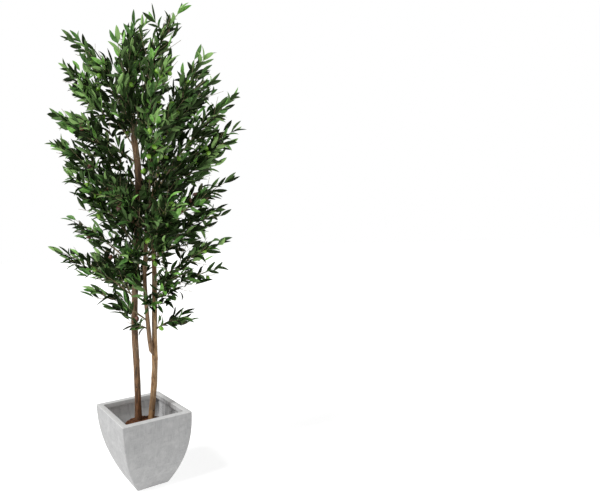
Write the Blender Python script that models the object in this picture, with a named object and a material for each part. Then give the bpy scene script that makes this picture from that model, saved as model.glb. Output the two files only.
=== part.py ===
"""An artificial olive tree: three bare wooden stems with wired-on sprays, in a grey planter.

Metres, +Z up. The origin is the middle of the planter's flat underside, which stands on the
floor, and the planter's four walls face along X and Y.
"""

import bmesh
import bpy
import numpy
from collections import namedtuple
from math import cos, pi, radians, sin
from mathutils import Matrix, Quaternion, Vector
from mathutils.bvhtree import BVHTree
from random import Random

GAP = 0.0003                    # clearance between pieces that touch
SMOOTH_ANGLE = radians(45)      # edges sharper than this stay crisp

# Planter: a square shell whose sides bulge outwards as they rise, with a flat rim.
PLANTER_HEIGHT = 0.316
PLANTER_TOP_HALF = 0.160
PLANTER_FOOT_HALF = 0.0738
BULGE_POWER = 2.21
PLANTER_WALL = 0.012
PLANTER_FLOOR = 0.015
PLANTER_CORNER = 0.0055
RIM_WIDTH = 0.0267
RIM_DEPTH = 0.022
EDGE_ROUNDING = 0.002
CORNER_STEPS = 2
PLANTER_LEVELS = 8

# The tree's own weighted pot, which stands in the planter, and the coir that tops it.
POT_OFF_CENTRE = (0.010, -0.020)
POT_FOOT_RADIUS = 0.047
POT_TOP_RADIUS = 0.095
POT_TOP = 0.250
POT_LIP = 0.004
MULCH_TOP = 0.254
MULCH_THICKNESS = 0.018
POT_SIDES = 24

# The tree stands turned in its planter, by the angle from the planter's front to the tree's.
TREE_TURN = radians(-25.3)

# Each stem: the points that its middle runs through, in the tree's own frame, and its radius
# at the foot and at the top.
TRUNKS = {
    "trunk_left": {
        "route": [(-0.021, 0.030, MULCH_TOP + GAP), (-0.017, 0.026, 0.45),
                  (-0.015, 0.018, 0.70), (0.012, 0.008, 1.02), (0.036, 0.002, 1.32),
                  (0.026, 0.004, 1.52)],
        "radii": (0.0150, 0.0145),
    },
    "trunk_right": {
        "route": [(0.036, 0.018, MULCH_TOP + GAP), (0.062, 0.010, 0.46),
                  (0.072, 0.004, 0.66), (0.083, 0.000, 0.88), (0.090, 0.006, 1.08),
                  (0.100, 0.010, 1.28)],
        "radii": (0.0140, 0.0090),
    },
    "trunk_middle": {
        "route": [(0.0525, -0.007, 0.545), (0.044, -0.017, 0.70), (0.041, -0.022, 0.90),
                  (0.057, -0.026, 1.06), (0.078, -0.026, 1.22)],
        "radii": (0.0100, 0.0078),
    },
}
TRUNK_SIDES = 10
TRUNK_RINGS = 15
FLARE = 0.16                    # share by which a foot is wider than the stem above it
FLARE_HEIGHT = 0.05
WAVER = 0.06                    # share by which a stem's thickness wanders

# Each spray: the stem that bears it, the height where it leaves it (None: on its cut top), its
# bearing in degrees anticlockwise from the tree's right, how far out and how high its tip is,
# and the length of bare bough before its foliage starts (0: none).
Spray = namedtuple("Spray", "trunk leaves_at bearing reach tip_height bare")
SPRAYS = [
    Spray("trunk_middle", 0.665, 208, 0.120, 0.715, 0.00),
    Spray("trunk_middle", 0.700, 186, 0.265, 0.865, 0.08),
    Spray("trunk_left", 0.800, 184, 0.350, 1.040, 0.07),
    Spray("trunk_left", 0.790, 130, 0.300, 1.015, 0.00),
    Spray("trunk_left", 0.930, 166, 0.335, 1.185, 0.09),
    Spray("trunk_left", 1.020, 205, 0.310, 1.370, 0.00),
    Spray("trunk_left", 1.090, 110, 0.350, 1.400, 0.00),
    Spray("trunk_left", 1.160, 178, 0.375, 1.515, 0.09),
    Spray("trunk_left", 1.270, 226, 0.355, 1.550, 0.00),
    Spray("trunk_left", 1.390, 188, 0.375, 1.625, 0.09),
    Spray("trunk_left", 1.450, 166, 0.330, 1.880, 0.10),
    Spray("trunk_left", 1.475, 305, 0.290, 1.770, 0.00),
    Spray("trunk_left", 1.475, 95, 0.290, 1.900, 0.10),
    Spray("trunk_left", 1.450, 250, 0.165, 1.915, 0.10),
    Spray("trunk_left", None, 190, 0.240, 1.960, 0.13),
    Spray("trunk_left", None, 70, 0.090, 2.085, 0.16),
    Spray("trunk_left", None, 352, 0.245, 2.065, 0.16),
    Spray("trunk_right", 0.655, 350, 0.165, 0.735, 0.00),
    Spray("trunk_right", 0.745, 292, 0.180, 0.925, 0.00),
    Spray("trunk_right", 0.800, 12, 0.335, 0.925, 0.00),
    Spray("trunk_right", 0.860, 344, 0.335, 1.040, 0.00),
    Spray("trunk_right", 0.930, 68, 0.320, 1.160, 0.00),
    Spray("trunk_right", 0.980, 20, 0.360, 1.190, 0.00),
    Spray("trunk_right", 1.050, 350, 0.365, 1.305, 0.10),
    Spray("trunk_right", 1.140, 62, 0.370, 1.480, 0.00),
    Spray("trunk_right", 1.180, 14, 0.410, 1.545, 0.10),
    Spray("trunk_right", 1.245, 356, 0.395, 1.675, 0.11),
    Spray("trunk_right", None, 30, 0.375, 1.820, 0.14),
    Spray("trunk_right", None, 322, 0.315, 1.800, 0.18),
    Spray("trunk_middle", 0.745, 275, 0.130, 0.830, 0.00),
    Spray("trunk_left", 0.870, 268, 0.240, 1.030, 0.00),
    Spray("trunk_middle", 0.930, 292, 0.300, 1.200, 0.00),
    Spray("trunk_middle", 1.060, 240, 0.310, 1.310, 0.00),
    Spray("trunk_middle", None, 276, 0.300, 1.500, 0.08),
]
CURVE_OUT = 0.36                # where a spray's curve is pulled to, as a share of its reach,
CURVE_OUT_ON_TOP = 0.18         # the same where it stands on a cut top,
CURVE_UP = 0.56                 # and as a share of its rise: it leaves steeply and arches out
CURVE_POINTS = 40
TOP_SPREAD = 0.0055             # how far from the middle of a cut top its boughs stand
TOP_SINK = 0.004                # how far below the cut a bough on it would start, uncut
INSIDE_TRUNK = 0.014            # the part of any other bough's length that its stem cuts off
BOUGH_RADII = (0.0038, 0.0030)
BOUGH_SIDES = 5
BOUGH_RINGS = 4

# Foliage: each spray is one stem with side twigs, and leaves and a few fruits along them.
SEED = 41
TWIG_SIDES = 3
STEM_RADII = (0.0034, 0.0018)
STEM_RINGS = 6
END_LEAF_REACH = 0.085          # how far the leaf that ends a stem reaches past it
SIDE_RADII = (0.0026, 0.0015)
SIDE_RINGS = 3
SIDE_SPACING = 0.040            # along the stem from one side twig to the next
FIRST_SIDE = 0.14               # share of the stem below the first side twig
LAST_SIDE = 0.78                # and below the last
FEWEST_SIDES = 2
SIDE_ANGLE = radians(44)
SIDE_ANGLE_SPREAD = 0.12
SIDE_LENGTH = (0.48, 0.24)      # of the stem's length, near its foot and near its tip
SIDE_LENGTH_SPREAD = 0.15
SIDE_BEND = 0.14                # how strongly a side twig bends along its stem
SIDE_LIFT = 0.05                # and upwards
GOLDEN_TURN = radians(137.5)
HEADING_STEP = 0.01             # a twig's direction is measured over this much each way

LEAF_LENGTH = 0.112             # larger than life: each leaf stands for two or three
LEAF_WIDTH = 0.037
LEAF_THICKNESS = 0.0028
LEAF_WIDEST = 0.42              # share of its length where a leaf is widest
LEAF_SPACING = 0.040
FIRST_STEM_LEAF = 0.25          # share of the stem below its first leaf
FIRST_SIDE_LEAF = 0.45          # and of a side twig
LEAF_ANGLE = radians(36)
LEAF_ANGLE_SPREAD = 0.15
LEAF_ROLL_SPREAD = 0.5
END_LEAF_ANGLES = (0.05, 0.20)
END_LEAF_SINK = 0.008           # how far back inside its twig an end leaf starts
ROOT_LENGTH = 0.016             # the length of a leaf that its own twig may cross
FACING_INWARD = 0.6             # how far a leaf's upper side turns to its twig,
FACING_UP = 0.8                 # how far it turns up
FACING_WANDER = 0.4             # and how far it wanders
LEAF_TRIES = 5
LEAF_RETRY_TURN = radians(75)

FRUIT_LENGTH = 0.026
FRUIT_WIDTH = 0.020
FRUIT_SHARE = 0.20              # share of side twigs that bear a fruit
FRUIT_PLACES = (0.3, 0.7)       # share of the twig's length where it hangs
FRUIT_SET_OFF = 0.4             # from the twig's middle, as a share of the fruit's width

STEM_MARKS = 14                 # points on each stem by which the crown's room is shared out
SPACE_MARGIN = 0.0025           # each mass stays this far inside its own space
LIMB_CLEARANCE = 0.0025         # and this far from stems and boughs


def clear_scene():
    for item in list(bpy.data.objects):
        bpy.data.objects.remove(item, do_unlink=True)


def material(name, colour, roughness, metallic=0.0):
    made = bpy.data.materials.new(name)
    made.use_nodes = True
    shader = made.node_tree.nodes["Principled BSDF"]
    shader.inputs["Base Color"].default_value = (*colour, 1.0)
    shader.inputs["Roughness"].default_value = roughness
    shader.inputs["Metallic"].default_value = metallic
    return made


def add_object(name, vertices, faces, look=None):
    mesh = bpy.data.meshes.new(name)
    mesh.from_pydata(vertices, [], faces)
    if look:
        mesh.materials.append(look)
    made = bpy.data.objects.new(name, mesh)
    bpy.context.collection.objects.link(made)
    return made


def shade_round(made):
    made.data.shade_smooth()
    made.data.set_sharp_from_angle(angle=SMOOTH_ANGLE)
    return made


def loft(rings):
    """A closed skin over rings of equally many points, with a flat face at each end."""
    count = len(rings[0])
    vertices = [point for ring in rings for point in ring]
    faces = [tuple(reversed(range(count)))]
    for level in range(len(rings) - 1):
        low = level * count
        high = low + count
        for step in range(count):
            onward = (step + 1) % count
            faces.append((low + step, low + onward, high + onward, high + step))
    faces.append(tuple(range(len(vertices) - count, len(vertices))))
    return vertices, faces


# Planter, inner pot and mulch

def rounded_square(half, corner, height):
    ring = []
    for quarter in range(4):
        diagonal = pi / 4 + pi / 2 * quarter
        middle = (half - corner) * 2 ** 0.5
        for step in range(CORNER_STEPS + 1):
            angle = pi / 2 * (quarter + step / CORNER_STEPS)
            ring.append(Vector((middle * cos(diagonal) + corner * cos(angle),
                                middle * sin(diagonal) + corner * sin(angle), height)))
    return ring


def planter_half(height):
    """Half the planter's outer width at a height."""
    bulge = 1 - (1 - height / PLANTER_HEIGHT) ** BULGE_POWER
    return PLANTER_FOOT_HALF + (PLANTER_TOP_HALF - PLANTER_FOOT_HALF) * bulge


def planter(look):
    top = PLANTER_HEIGHT
    under_rim = top - RIM_DEPTH
    rim_inside = PLANTER_TOP_HALF - RIM_WIDTH
    sharp = PLANTER_CORNER - EDGE_ROUNDING
    outside = [EDGE_ROUNDING + (top - 2 * EDGE_ROUNDING) * level / PLANTER_LEVELS
               for level in range(PLANTER_LEVELS + 1)]
    inside = [under_rim + (PLANTER_FLOOR - under_rim) * level / PLANTER_LEVELS
              for level in range(PLANTER_LEVELS + 1)]
    rings = [rounded_square(PLANTER_FOOT_HALF - EDGE_ROUNDING, sharp, 0)]
    rings += [rounded_square(planter_half(height), PLANTER_CORNER, height) for height in outside]
    rings.append(rounded_square(PLANTER_TOP_HALF - EDGE_ROUNDING, sharp, top))
    rings.append(rounded_square(rim_inside + EDGE_ROUNDING, PLANTER_CORNER, top))
    rings.append(rounded_square(rim_inside, sharp, top - EDGE_ROUNDING))
    rings.append(rounded_square(rim_inside, sharp, under_rim))
    rings += [rounded_square(planter_half(height) - PLANTER_WALL, PLANTER_CORNER, height)
              for height in inside]
    return shade_round(add_object("planter", *loft(rings), look))


def turned_piece(name, levels, look):
    """A round piece from (radius, height) levels, about the inner pot's middle."""
    rings = []
    for radius, height in levels:
        ring = []
        for step in range(POT_SIDES):
            angle = 2 * pi * step / POT_SIDES
            ring.append(turn_tree((POT_OFF_CENTRE[0] + radius * cos(angle),
                                   POT_OFF_CENTRE[1] + radius * sin(angle), height)))
        rings.append(ring)
    return shade_round(add_object(name, *loft(rings), look))


def inner_pot(look):
    foot = PLANTER_FLOOR + GAP
    bed = MULCH_TOP - MULCH_THICKNESS - GAP
    inside = POT_TOP_RADIUS - POT_LIP
    levels = [(POT_FOOT_RADIUS - EDGE_ROUNDING, foot), (POT_FOOT_RADIUS, foot + EDGE_ROUNDING),
              (POT_TOP_RADIUS, POT_TOP), (inside, POT_TOP), (inside, bed)]
    return turned_piece("inner_pot", levels, look)


def mulch(look):
    outside = POT_TOP_RADIUS - POT_LIP - GAP
    shoulder = 3 * EDGE_ROUNDING
    levels = [(outside, MULCH_TOP - MULCH_THICKNESS), (outside, MULCH_TOP - EDGE_ROUNDING),
              (outside - shoulder, MULCH_TOP)]
    return turned_piece("mulch", levels, look)


# Lines and tubes

def turn_tree(point):
    """A point of the tree's own frame, moved to where it is in the planter's frame."""
    return Matrix.Rotation(TREE_TURN, 3, "Z") @ Vector(point)


def smooth_route(points, count):
    """Evenly many points on a smooth curve through the given ones."""
    ends = [points[0] * 2 - points[1], *points, points[-1] * 2 - points[-2]]
    route = []
    for index in range(count):
        place = index / (count - 1) * (len(points) - 1)
        span = min(int(place), len(points) - 2)
        share = place - span
        before, start, end, after = ends[span:span + 4]
        route.append(0.5 * (2 * start + (end - before) * share
                            + (2 * before - 5 * start + 4 * end - after) * share ** 2
                            + (3 * start - before - 3 * end + after) * share ** 3))
    return route


def length_of(points):
    return sum((high - low).length for low, high in zip(points, points[1:]))


def point_along(points, distance):
    for low, high in zip(points, points[1:]):
        step = (high - low).length
        if distance <= step:
            return low.lerp(high, distance / step)
        distance -= step
    return points[-1].copy()


def stretch(points, start, end, count):
    """Evenly spaced points on the part of a line between two lengths along it."""
    return [point_along(points, start + (end - start) * index / (count - 1))
            for index in range(count)]


def heading_at(points, distance):
    behind = point_along(points, max(distance - HEADING_STEP, 0))
    ahead = point_along(points, min(distance + HEADING_STEP, length_of(points)))
    return (ahead - behind).normalized()


def off_axis(along, roll, angle):
    """A direction that leaves the given one by an angle, at a roll about it."""
    spoke = Quaternion(along, roll) @ along.orthogonal().normalized()
    return along * cos(angle) + spoke * sin(angle)


def tapering(radii, count):
    return [radii[0] + (radii[1] - radii[0]) * index / (count - 1) for index in range(count)]


def tube(route, radii, sides, level_ends=False):
    """Rings along a route, without twist; level ends are cut flat and horizontal."""
    rings = []
    across = (route[1] - route[0]).orthogonal().normalized()
    for index, point in enumerate(route):
        before = route[max(index - 1, 0)]
        after = route[min(index + 1, len(route) - 1)]
        heading = (after - before).normalized()
        across = (across - heading * across.dot(heading)).normalized()
        beside = heading.cross(across)
        is_end = index in (0, len(route) - 1)
        ring = []
        for step in range(sides):
            angle = 2 * pi * step / sides
            spoke = across * cos(angle) + beside * sin(angle)
            if level_ends and is_end:
                spoke.z = 0
                spoke.normalize()
            ring.append(point + spoke * radii[index])
        rings.append(ring)
    return rings


# Stems and boughs

def trunk_route(name):
    return smooth_route([turn_tree(point) for point in TRUNKS[name]["route"]], TRUNK_RINGS)


def trunk_radii(name):
    """The stem's radius at each ring: a true taper, a flared foot and a slight waver."""
    rng = Random(f"{SEED} {name}")
    route = trunk_route(name)
    radii = tapering(TRUNKS[name]["radii"], TRUNK_RINGS)
    for index, point in enumerate(route):
        rise = point.z - route[0].z
        flare = FLARE * max(0, 1 - rise / FLARE_HEIGHT)
        radii[index] *= 1 + flare + rng.uniform(-WAVER, WAVER)
    return radii


def trunk(name, look):
    rings = tube(trunk_route(name), trunk_radii(name), TRUNK_SIDES, level_ends=True)
    return shade_round(add_object(name, *loft(rings), look))


def clearance_cutter(name):
    """The stem, larger by the gap: what it cuts is left just clear of the stem."""
    route = trunk_route(name)
    route[0] = route[0] - Vector((0, 0, GAP))
    route[-1] = route[-1] + Vector((0, 0, GAP))
    wider = [radius + GAP for radius in trunk_radii(name)]
    cutter = add_object(f"{name}_cutter", *loft(tube(route, wider, TRUNK_SIDES, level_ends=True)))
    cutter.hide_render = True
    cutter.display_type = "WIRE"
    return cutter


def cut_clear(piece, cutter):
    cut = piece.modifiers.new(cutter.name, "BOOLEAN")
    cut.operation = "DIFFERENCE"
    cut.object = cutter


def point_at_height(route, height):
    for low, high in zip(route, route[1:]):
        if low.z <= height <= high.z:
            return low.lerp(high, (height - low.z) / (high.z - low.z))
    return route[-1]


def spray_curve(spray):
    """Points along one spray's bough and stem, from inside its trunk to its last leaf's tip."""
    route = trunk_route(spray.trunk)
    turned = radians(spray.bearing) + TREE_TURN
    outward = Vector((cos(turned), sin(turned), 0))
    on_top = spray.leaves_at is None
    if on_top:
        start = route[-1] + outward * TOP_SPREAD - Vector((0, 0, TOP_SINK))
    else:
        start = point_at_height(route, spray.leaves_at)
    rise = Vector((0, 0, spray.tip_height - start.z))
    pull_out = CURVE_OUT_ON_TOP if on_top else CURVE_OUT
    pull = start + outward * spray.reach * pull_out + rise * CURVE_UP
    tip = start + outward * spray.reach + rise
    points = []
    for index in range(CURVE_POINTS):
        share = index / (CURVE_POINTS - 1)
        points.append(start * (1 - share) ** 2 + pull * 2 * share * (1 - share) + tip * share ** 2)
    return points


def bough_and_stem(spray):
    """The middle lines of a spray's bare bough, if it has one, and of the stem that goes on."""
    curve = spray_curve(spray)
    end = length_of(curve) - END_LEAF_REACH
    if not spray.bare:
        return None, stretch(curve, 0, end, CURVE_POINTS)
    bough_end = INSIDE_TRUNK + spray.bare
    return (stretch(curve, 0, bough_end, BOUGH_RINGS),
            stretch(curve, bough_end + GAP, end, CURVE_POINTS))


def bough_rings(line, thicker=0.0):
    radii = [radius + thicker for radius in tapering(BOUGH_RADII, BOUGH_RINGS)]
    return tube(line, radii, BOUGH_SIDES)


# Foliage

class Room:
    """The room in the crown: each mass owns what is nearest its stem, and limbs are solid."""

    def __init__(self, stems, limbs):
        marks = []
        owners = []
        for index, stem in enumerate(stems):
            marks += [tuple(mark) for mark in stretch(stem, 0, length_of(stem), STEM_MARKS)]
            owners += [index] * STEM_MARKS
        self.marks = numpy.array(marks)
        self.owners = numpy.array(owners)
        self.solids = [BVHTree.FromPolygons(*loft(rings)) for rings in limbs]

    def owns(self, index, points):
        for point in points:
            distances = numpy.linalg.norm(self.marks - numpy.array(tuple(point)), axis=1)
            own = distances[self.owners == index].min()
            other = distances[self.owners != index].min()
            if own + 2 * SPACE_MARGIN > other:
                return False
        return True

    def is_clear(self, vertices, faces):
        shape = BVHTree.FromPolygons(vertices, faces)
        return not any(shape.overlap(solid) for solid in self.solids)

    def take(self, mesh):
        vertices = [vertex.co for vertex in mesh.vertices]
        faces = [tuple(face.vertices) for face in mesh.polygons]
        self.solids.append(BVHTree.FromPolygons(vertices, faces))


def side_twig(rng, stem, share, roll):
    """A side twig that leaves the stem and bends towards it and a little upwards."""
    whole = length_of(stem)
    along = heading_at(stem, share * whole)
    spread = rng.uniform(-SIDE_ANGLE_SPREAD, SIDE_ANGLE_SPREAD)
    heading = off_axis(along, roll, SIDE_ANGLE + spread)
    near, far = SIDE_LENGTH
    longer = 1 + rng.uniform(-SIDE_LENGTH_SPREAD, SIDE_LENGTH_SPREAD)
    step = whole * (near + (far - near) * share) * longer / (SIDE_RINGS - 1)
    points = [point_along(stem, share * whole)]
    for _ in range(SIDE_RINGS - 1):
        points.append(points[-1] + heading * step)
        heading = (heading + along * SIDE_BEND + Vector((0, 0, SIDE_LIFT))).normalized()
    return points


def grow_twigs(index, stem, room):
    """The seeded rule for one mass: the side twigs and fruits that its space has room for."""
    rng = Random(f"{SEED} twigs {index}")
    whole = length_of(stem)
    count = max(FEWEST_SIDES, round(whole * (LAST_SIDE - FIRST_SIDE) / SIDE_SPACING))
    roll = rng.uniform(0, 2 * pi)
    twigs = []
    fruits = []
    for number in range(count):
        share = FIRST_SIDE + (LAST_SIDE - FIRST_SIDE) * number / (count - 1)
        points = side_twig(rng, stem, share, roll)
        fruit_place = rng.uniform(*FRUIT_PLACES)
        fruit_roll = rng.uniform(0, 2 * pi)
        bears_fruit = rng.random() < FRUIT_SHARE
        roll += GOLDEN_TURN
        rings = tube(points, tapering(SIDE_RADII, SIDE_RINGS), TWIG_SIDES)
        if room.owns(index, points[1:]) and room.is_clear(*loft(rings[1:])):
            twigs.append((points, loft(rings)))
            if bears_fruit:
                fruits.append(fruit_solid(points, fruit_place, fruit_roll))
    fruits = [fruit for fruit in fruits if room.owns(index, fruit[0]) and room.is_clear(*fruit)]
    return twigs, fruits


def fruit_solid(points, share, roll):
    """A fruit on one side of a twig, sunk a little into it."""
    place = share * length_of(points)
    heading = off_axis(heading_at(points, place), roll, pi / 2)
    centre = point_along(points, place) + heading * FRUIT_WIDTH * FRUIT_SET_OFF
    turn = heading.to_track_quat("Z", "Y")
    shape = bmesh.new()
    bmesh.ops.create_icosphere(shape, subdivisions=1, radius=0.5)
    vertices = [centre + turn @ Vector((vertex.co.x * FRUIT_WIDTH, vertex.co.y * FRUIT_WIDTH,
                                        vertex.co.z * FRUIT_LENGTH)) for vertex in shape.verts]
    faces = [tuple(vertex.index for vertex in face.verts) for face in shape.faces]
    shape.free()
    return vertices, faces


def leaf_solid(root, heading, facing):
    """A blade with a flat upper side and a keel below, from its root point to its tip."""
    side = heading.cross(facing).normalized()
    upward = side.cross(heading)
    middle = root + heading * LEAF_LENGTH * LEAF_WIDEST
    vertices = [root, middle + side * LEAF_WIDTH / 2, middle - side * LEAF_WIDTH / 2,
                middle - upward * LEAF_THICKNESS, root + heading * LEAF_LENGTH]
    faces = []
    for start, end in ((1, 2), (2, 3), (3, 1)):
        faces.append((start, end, 0))
        faces.append((end, start, 4))
    return vertices, faces


def random_leaf(rng, points, place, roll):
    """A leaf at a length along a twig, and the same leaf without its root end."""
    along = heading_at(points, place)
    if place < length_of(points):
        angle = LEAF_ANGLE + rng.uniform(-LEAF_ANGLE_SPREAD, LEAF_ANGLE_SPREAD)
        root = point_along(points, place)
    else:
        angle = rng.uniform(*END_LEAF_ANGLES)
        root = points[-1] - along * END_LEAF_SINK
    heading = off_axis(along, roll, angle)
    inward = (along - heading * along.dot(heading)).normalized()
    wander = Vector((rng.uniform(-1, 1), rng.uniform(-1, 1), rng.uniform(-1, 1)))
    facing = inward * FACING_INWARD + Vector((0, 0, FACING_UP)) + wander * FACING_WANDER
    vertices, faces = leaf_solid(root, heading, facing)
    blade = [root + heading * ROOT_LENGTH, *vertices[1:]]
    return (vertices, faces), (blade, faces)


def leaf_places(points, first):
    """The lengths along a twig where its leaves sit, the last at its end."""
    whole = length_of(points)
    places = []
    place = whole * first
    while place < whole - LEAF_SPACING / 2:
        places.append(place)
        place += LEAF_SPACING
    return [*places, whole]


def grow_leaves(index, stem, twigs, room):
    """Leaves along the stem and each side twig, none of them through another piece."""
    rng = Random(f"{SEED} leaves {index}")
    leaves = []
    own = [BVHTree.FromPolygons(*solid) for _, solid in twigs]
    lines = [(stem, FIRST_STEM_LEAF)] + [(points, FIRST_SIDE_LEAF) for points, _ in twigs]
    for points, first in lines:
        roll = rng.uniform(0, 2 * pi)
        for place in leaf_places(points, first):
            roll += pi + rng.uniform(-LEAF_ROLL_SPREAD, LEAF_ROLL_SPREAD)
            for _ in range(LEAF_TRIES):
                leaf, blade = random_leaf(rng, points, place, roll)
                tree = BVHTree.FromPolygons(*blade)
                crosses = any(tree.overlap(other) for other in own)
                if not crosses and room.owns(index, leaf[0][1:]) and room.is_clear(*leaf):
                    leaves.append(leaf)
                    own.append(tree)
                    break
                roll += LEAF_RETRY_TURN
    return leaves


def foliage(index, stem, room, look, cutter):
    twigs, fruits = grow_twigs(index, stem, room)
    leaves = grow_leaves(index, stem, twigs, room)
    line = stretch(stem, 0, length_of(stem), STEM_RINGS)
    stem_solid = loft(tube(line, tapering(STEM_RADII, STEM_RINGS), TWIG_SIDES))
    grown = [solid for _, solid in twigs] + leaves + fruits
    mass = fuse(f"foliage_{index + 1:02d}", stem_solid, grown, look, cutter)
    room.take(mass.data)
    return mass


def fuse(name, stem, grown, look, cutter):
    """One Boolean union of a stem with all that grows on it, cut clear of its trunk."""
    mass = add_object(name, *stem, look)
    group = bpy.data.collections.new(f"{name}_pieces")
    bpy.context.scene.collection.children.link(group)
    for number, solid in enumerate(grown):
        piece = add_object(f"{name}_piece_{number}", *solid)
        bpy.context.collection.objects.unlink(piece)
        group.objects.link(piece)
    union = mass.modifiers.new("union", "BOOLEAN")
    union.operation = "UNION"
    union.operand_type = "COLLECTION"
    union.collection = group
    if cutter:
        cut_clear(mass, cutter)
    apply_modifiers(mass)
    for piece in list(group.objects):
        bpy.data.objects.remove(piece, do_unlink=True)
    bpy.data.collections.remove(group)
    keep_largest_shell(mass.data)
    return mass


def apply_modifiers(item):
    bpy.context.view_layer.update()
    evaluated = item.evaluated_get(bpy.context.evaluated_depsgraph_get())
    mesh = bpy.data.meshes.new_from_object(evaluated)
    item.modifiers.clear()
    item.data = mesh


def keep_largest_shell(mesh):
    """Drop loose scraps and fill sealed hollows: only the largest shell stays."""
    shape = bmesh.new()
    shape.from_mesh(mesh)
    bmesh.ops.triangulate(shape, faces=shape.faces)
    unseen = set(shape.faces)
    shells = []
    while unseen:
        front = [unseen.pop()]
        shell = list(front)
        while front:
            face = front.pop()
            for edge in face.edges:
                for neighbour in edge.link_faces:
                    if neighbour in unseen:
                        unseen.remove(neighbour)
                        front.append(neighbour)
                        shell.append(neighbour)
        shells.append(shell)
    shells.sort(key=len, reverse=True)
    for shell in shells[1:]:
        bmesh.ops.delete(shape, geom=shell, context="FACES")
    shape.to_mesh(mesh)
    shape.free()


def main():
    clear_scene()
    planter(material("grey_fibre_concrete", (0.56, 0.56, 0.56), 0.8))
    inner_pot(material("black_plastic", (0.03, 0.03, 0.03), 0.5))
    mulch(material("rust_brown_coir", (0.24, 0.09, 0.04), 0.95))

    bark = material("bare_wood", (0.25, 0.15, 0.09), 0.8)
    trunks = {name: trunk(name, bark) for name in TRUNKS}
    cutters = {name: clearance_cutter(name) for name in TRUNKS}
    cut_clear(trunks["trunk_middle"], cutters["trunk_right"])

    twig_brown = material("twig_brown", (0.16, 0.13, 0.06), 0.7)
    limbs = []
    for name in TRUNKS:
        radii = [radius + LIMB_CLEARANCE for radius in trunk_radii(name)]
        limbs.append(tube(trunk_route(name), radii, TRUNK_SIDES))
    stems = []
    for index, spray in enumerate(SPRAYS):
        bough, stem = bough_and_stem(spray)
        stems.append(stem)
        if bough:
            rings = bough_rings(bough)
            made = add_object(f"bough_{index + 1:02d}", *loft(rings), twig_brown)
            cut_clear(shade_round(made), cutters[spray.trunk])
            limbs.append(bough_rings(bough, LIMB_CLEARANCE))

    leaf_green = material("leaf_green", (0.05, 0.12, 0.035), 0.55)
    room = Room(stems, limbs)
    for index, spray in enumerate(SPRAYS):
        cutter = None if spray.bare else cutters[spray.trunk]
        foliage(index, stems[index], room, leaf_green, cutter)


main()
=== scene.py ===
import bmesh
import bpy
import numpy
from collections import namedtuple
from math import cos, exp, pi, radians, sin, sqrt
from mathutils import Euler, Matrix, Quaternion, Vector, noise
from mathutils.bvhtree import BVHTree
from random import Random


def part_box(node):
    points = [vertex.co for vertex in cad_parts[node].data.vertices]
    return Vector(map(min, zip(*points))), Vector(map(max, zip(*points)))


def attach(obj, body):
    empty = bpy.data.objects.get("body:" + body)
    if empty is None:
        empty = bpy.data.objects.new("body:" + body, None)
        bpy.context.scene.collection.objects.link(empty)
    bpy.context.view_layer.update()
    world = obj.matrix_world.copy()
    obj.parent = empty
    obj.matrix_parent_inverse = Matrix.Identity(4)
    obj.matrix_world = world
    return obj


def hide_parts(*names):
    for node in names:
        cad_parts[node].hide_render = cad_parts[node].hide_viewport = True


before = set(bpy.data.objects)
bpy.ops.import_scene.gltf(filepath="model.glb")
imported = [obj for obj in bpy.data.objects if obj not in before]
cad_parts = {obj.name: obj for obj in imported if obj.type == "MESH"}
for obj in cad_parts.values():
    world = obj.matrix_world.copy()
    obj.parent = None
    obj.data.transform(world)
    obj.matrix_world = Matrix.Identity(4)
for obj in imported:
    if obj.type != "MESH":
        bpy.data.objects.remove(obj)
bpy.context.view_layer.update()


# small helpers

def makePiece(name, vertices, faces, looks, slots=None, sharpAngle=30):
    mesh = bpy.data.meshes.new(name)
    mesh.from_pydata([tuple(vertex) for vertex in vertices], [], faces)
    for look in looks:
        mesh.materials.append(look)
    if slots is not None:
        mesh.polygons.foreach_set("material_index", slots)
    mesh.shade_smooth()
    mesh.set_sharp_from_angle(angle=radians(sharpAngle))
    piece = bpy.data.objects.new(name, mesh)
    bpy.context.scene.collection.objects.link(piece)
    return piece


def settle(piece, slotName, *nodeNames):
    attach(piece, "root")
    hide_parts(*nodeNames)


def loft(rings, firstIndex=0):  # closed skin over rings of equally many points
    count = len(rings[0])
    vertices = [point for ring in rings for point in ring]
    faces = [tuple(firstIndex + step for step in reversed(range(count)))]
    for level in range(len(rings) - 1):
        low = firstIndex + level * count
        high = low + count
        for step in range(count):
            onward = (step + 1) % count
            faces.append((low + step, low + onward, high + onward, high + step))
    last = firstIndex + len(vertices)
    faces.append(tuple(range(last - count, last)))
    return vertices, faces


class Batch:  # many small meshes gathered into one
    def __init__(self):
        self.vertices = []
        self.faces = []
        self.slots = []

    def add(self, rings, slot=0):
        vertices, faces = loft(rings, len(self.vertices))
        self.vertices += vertices
        self.faces += faces
        self.slots += [slot] * len(faces)

    def piece(self, name, looks, sharpAngle=30):
        return makePiece(name, self.vertices, self.faces, looks, self.slots, sharpAngle)


# numbers, lines and tubes

treeTurn = radians(-25.3)  # the tree stands turned in its planter
headingStep = 0.01


def between(ends, share):
    return ends[0] + (ends[1] - ends[0]) * share


def swing(rng, amount):
    return rng.uniform(-amount, amount)


def anyRoll(rng):
    return rng.uniform(0, 2 * pi)


def allRound(count):
    return [2 * pi * step / count for step in range(count)]


def turnTree(point):
    return Matrix.Rotation(treeTurn, 3, "Z") @ Vector(point)


def smoothRoute(points, count):
    ends = [points[0] * 2 - points[1], *points, points[-1] * 2 - points[-2]]
    route = []
    for index in range(count):
        place = index / (count - 1) * (len(points) - 1)
        span = min(int(place), len(points) - 2)
        share = place - span
        before, start, end, after = ends[span:span + 4]
        route.append(0.5 * (2 * start + (end - before) * share
                            + (2 * before - 5 * start + 4 * end - after) * share ** 2
                            + (3 * start - before - 3 * end + after) * share ** 3))
    return route


def lengthOf(points):
    return sum((high - low).length for low, high in zip(points, points[1:]))


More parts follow.
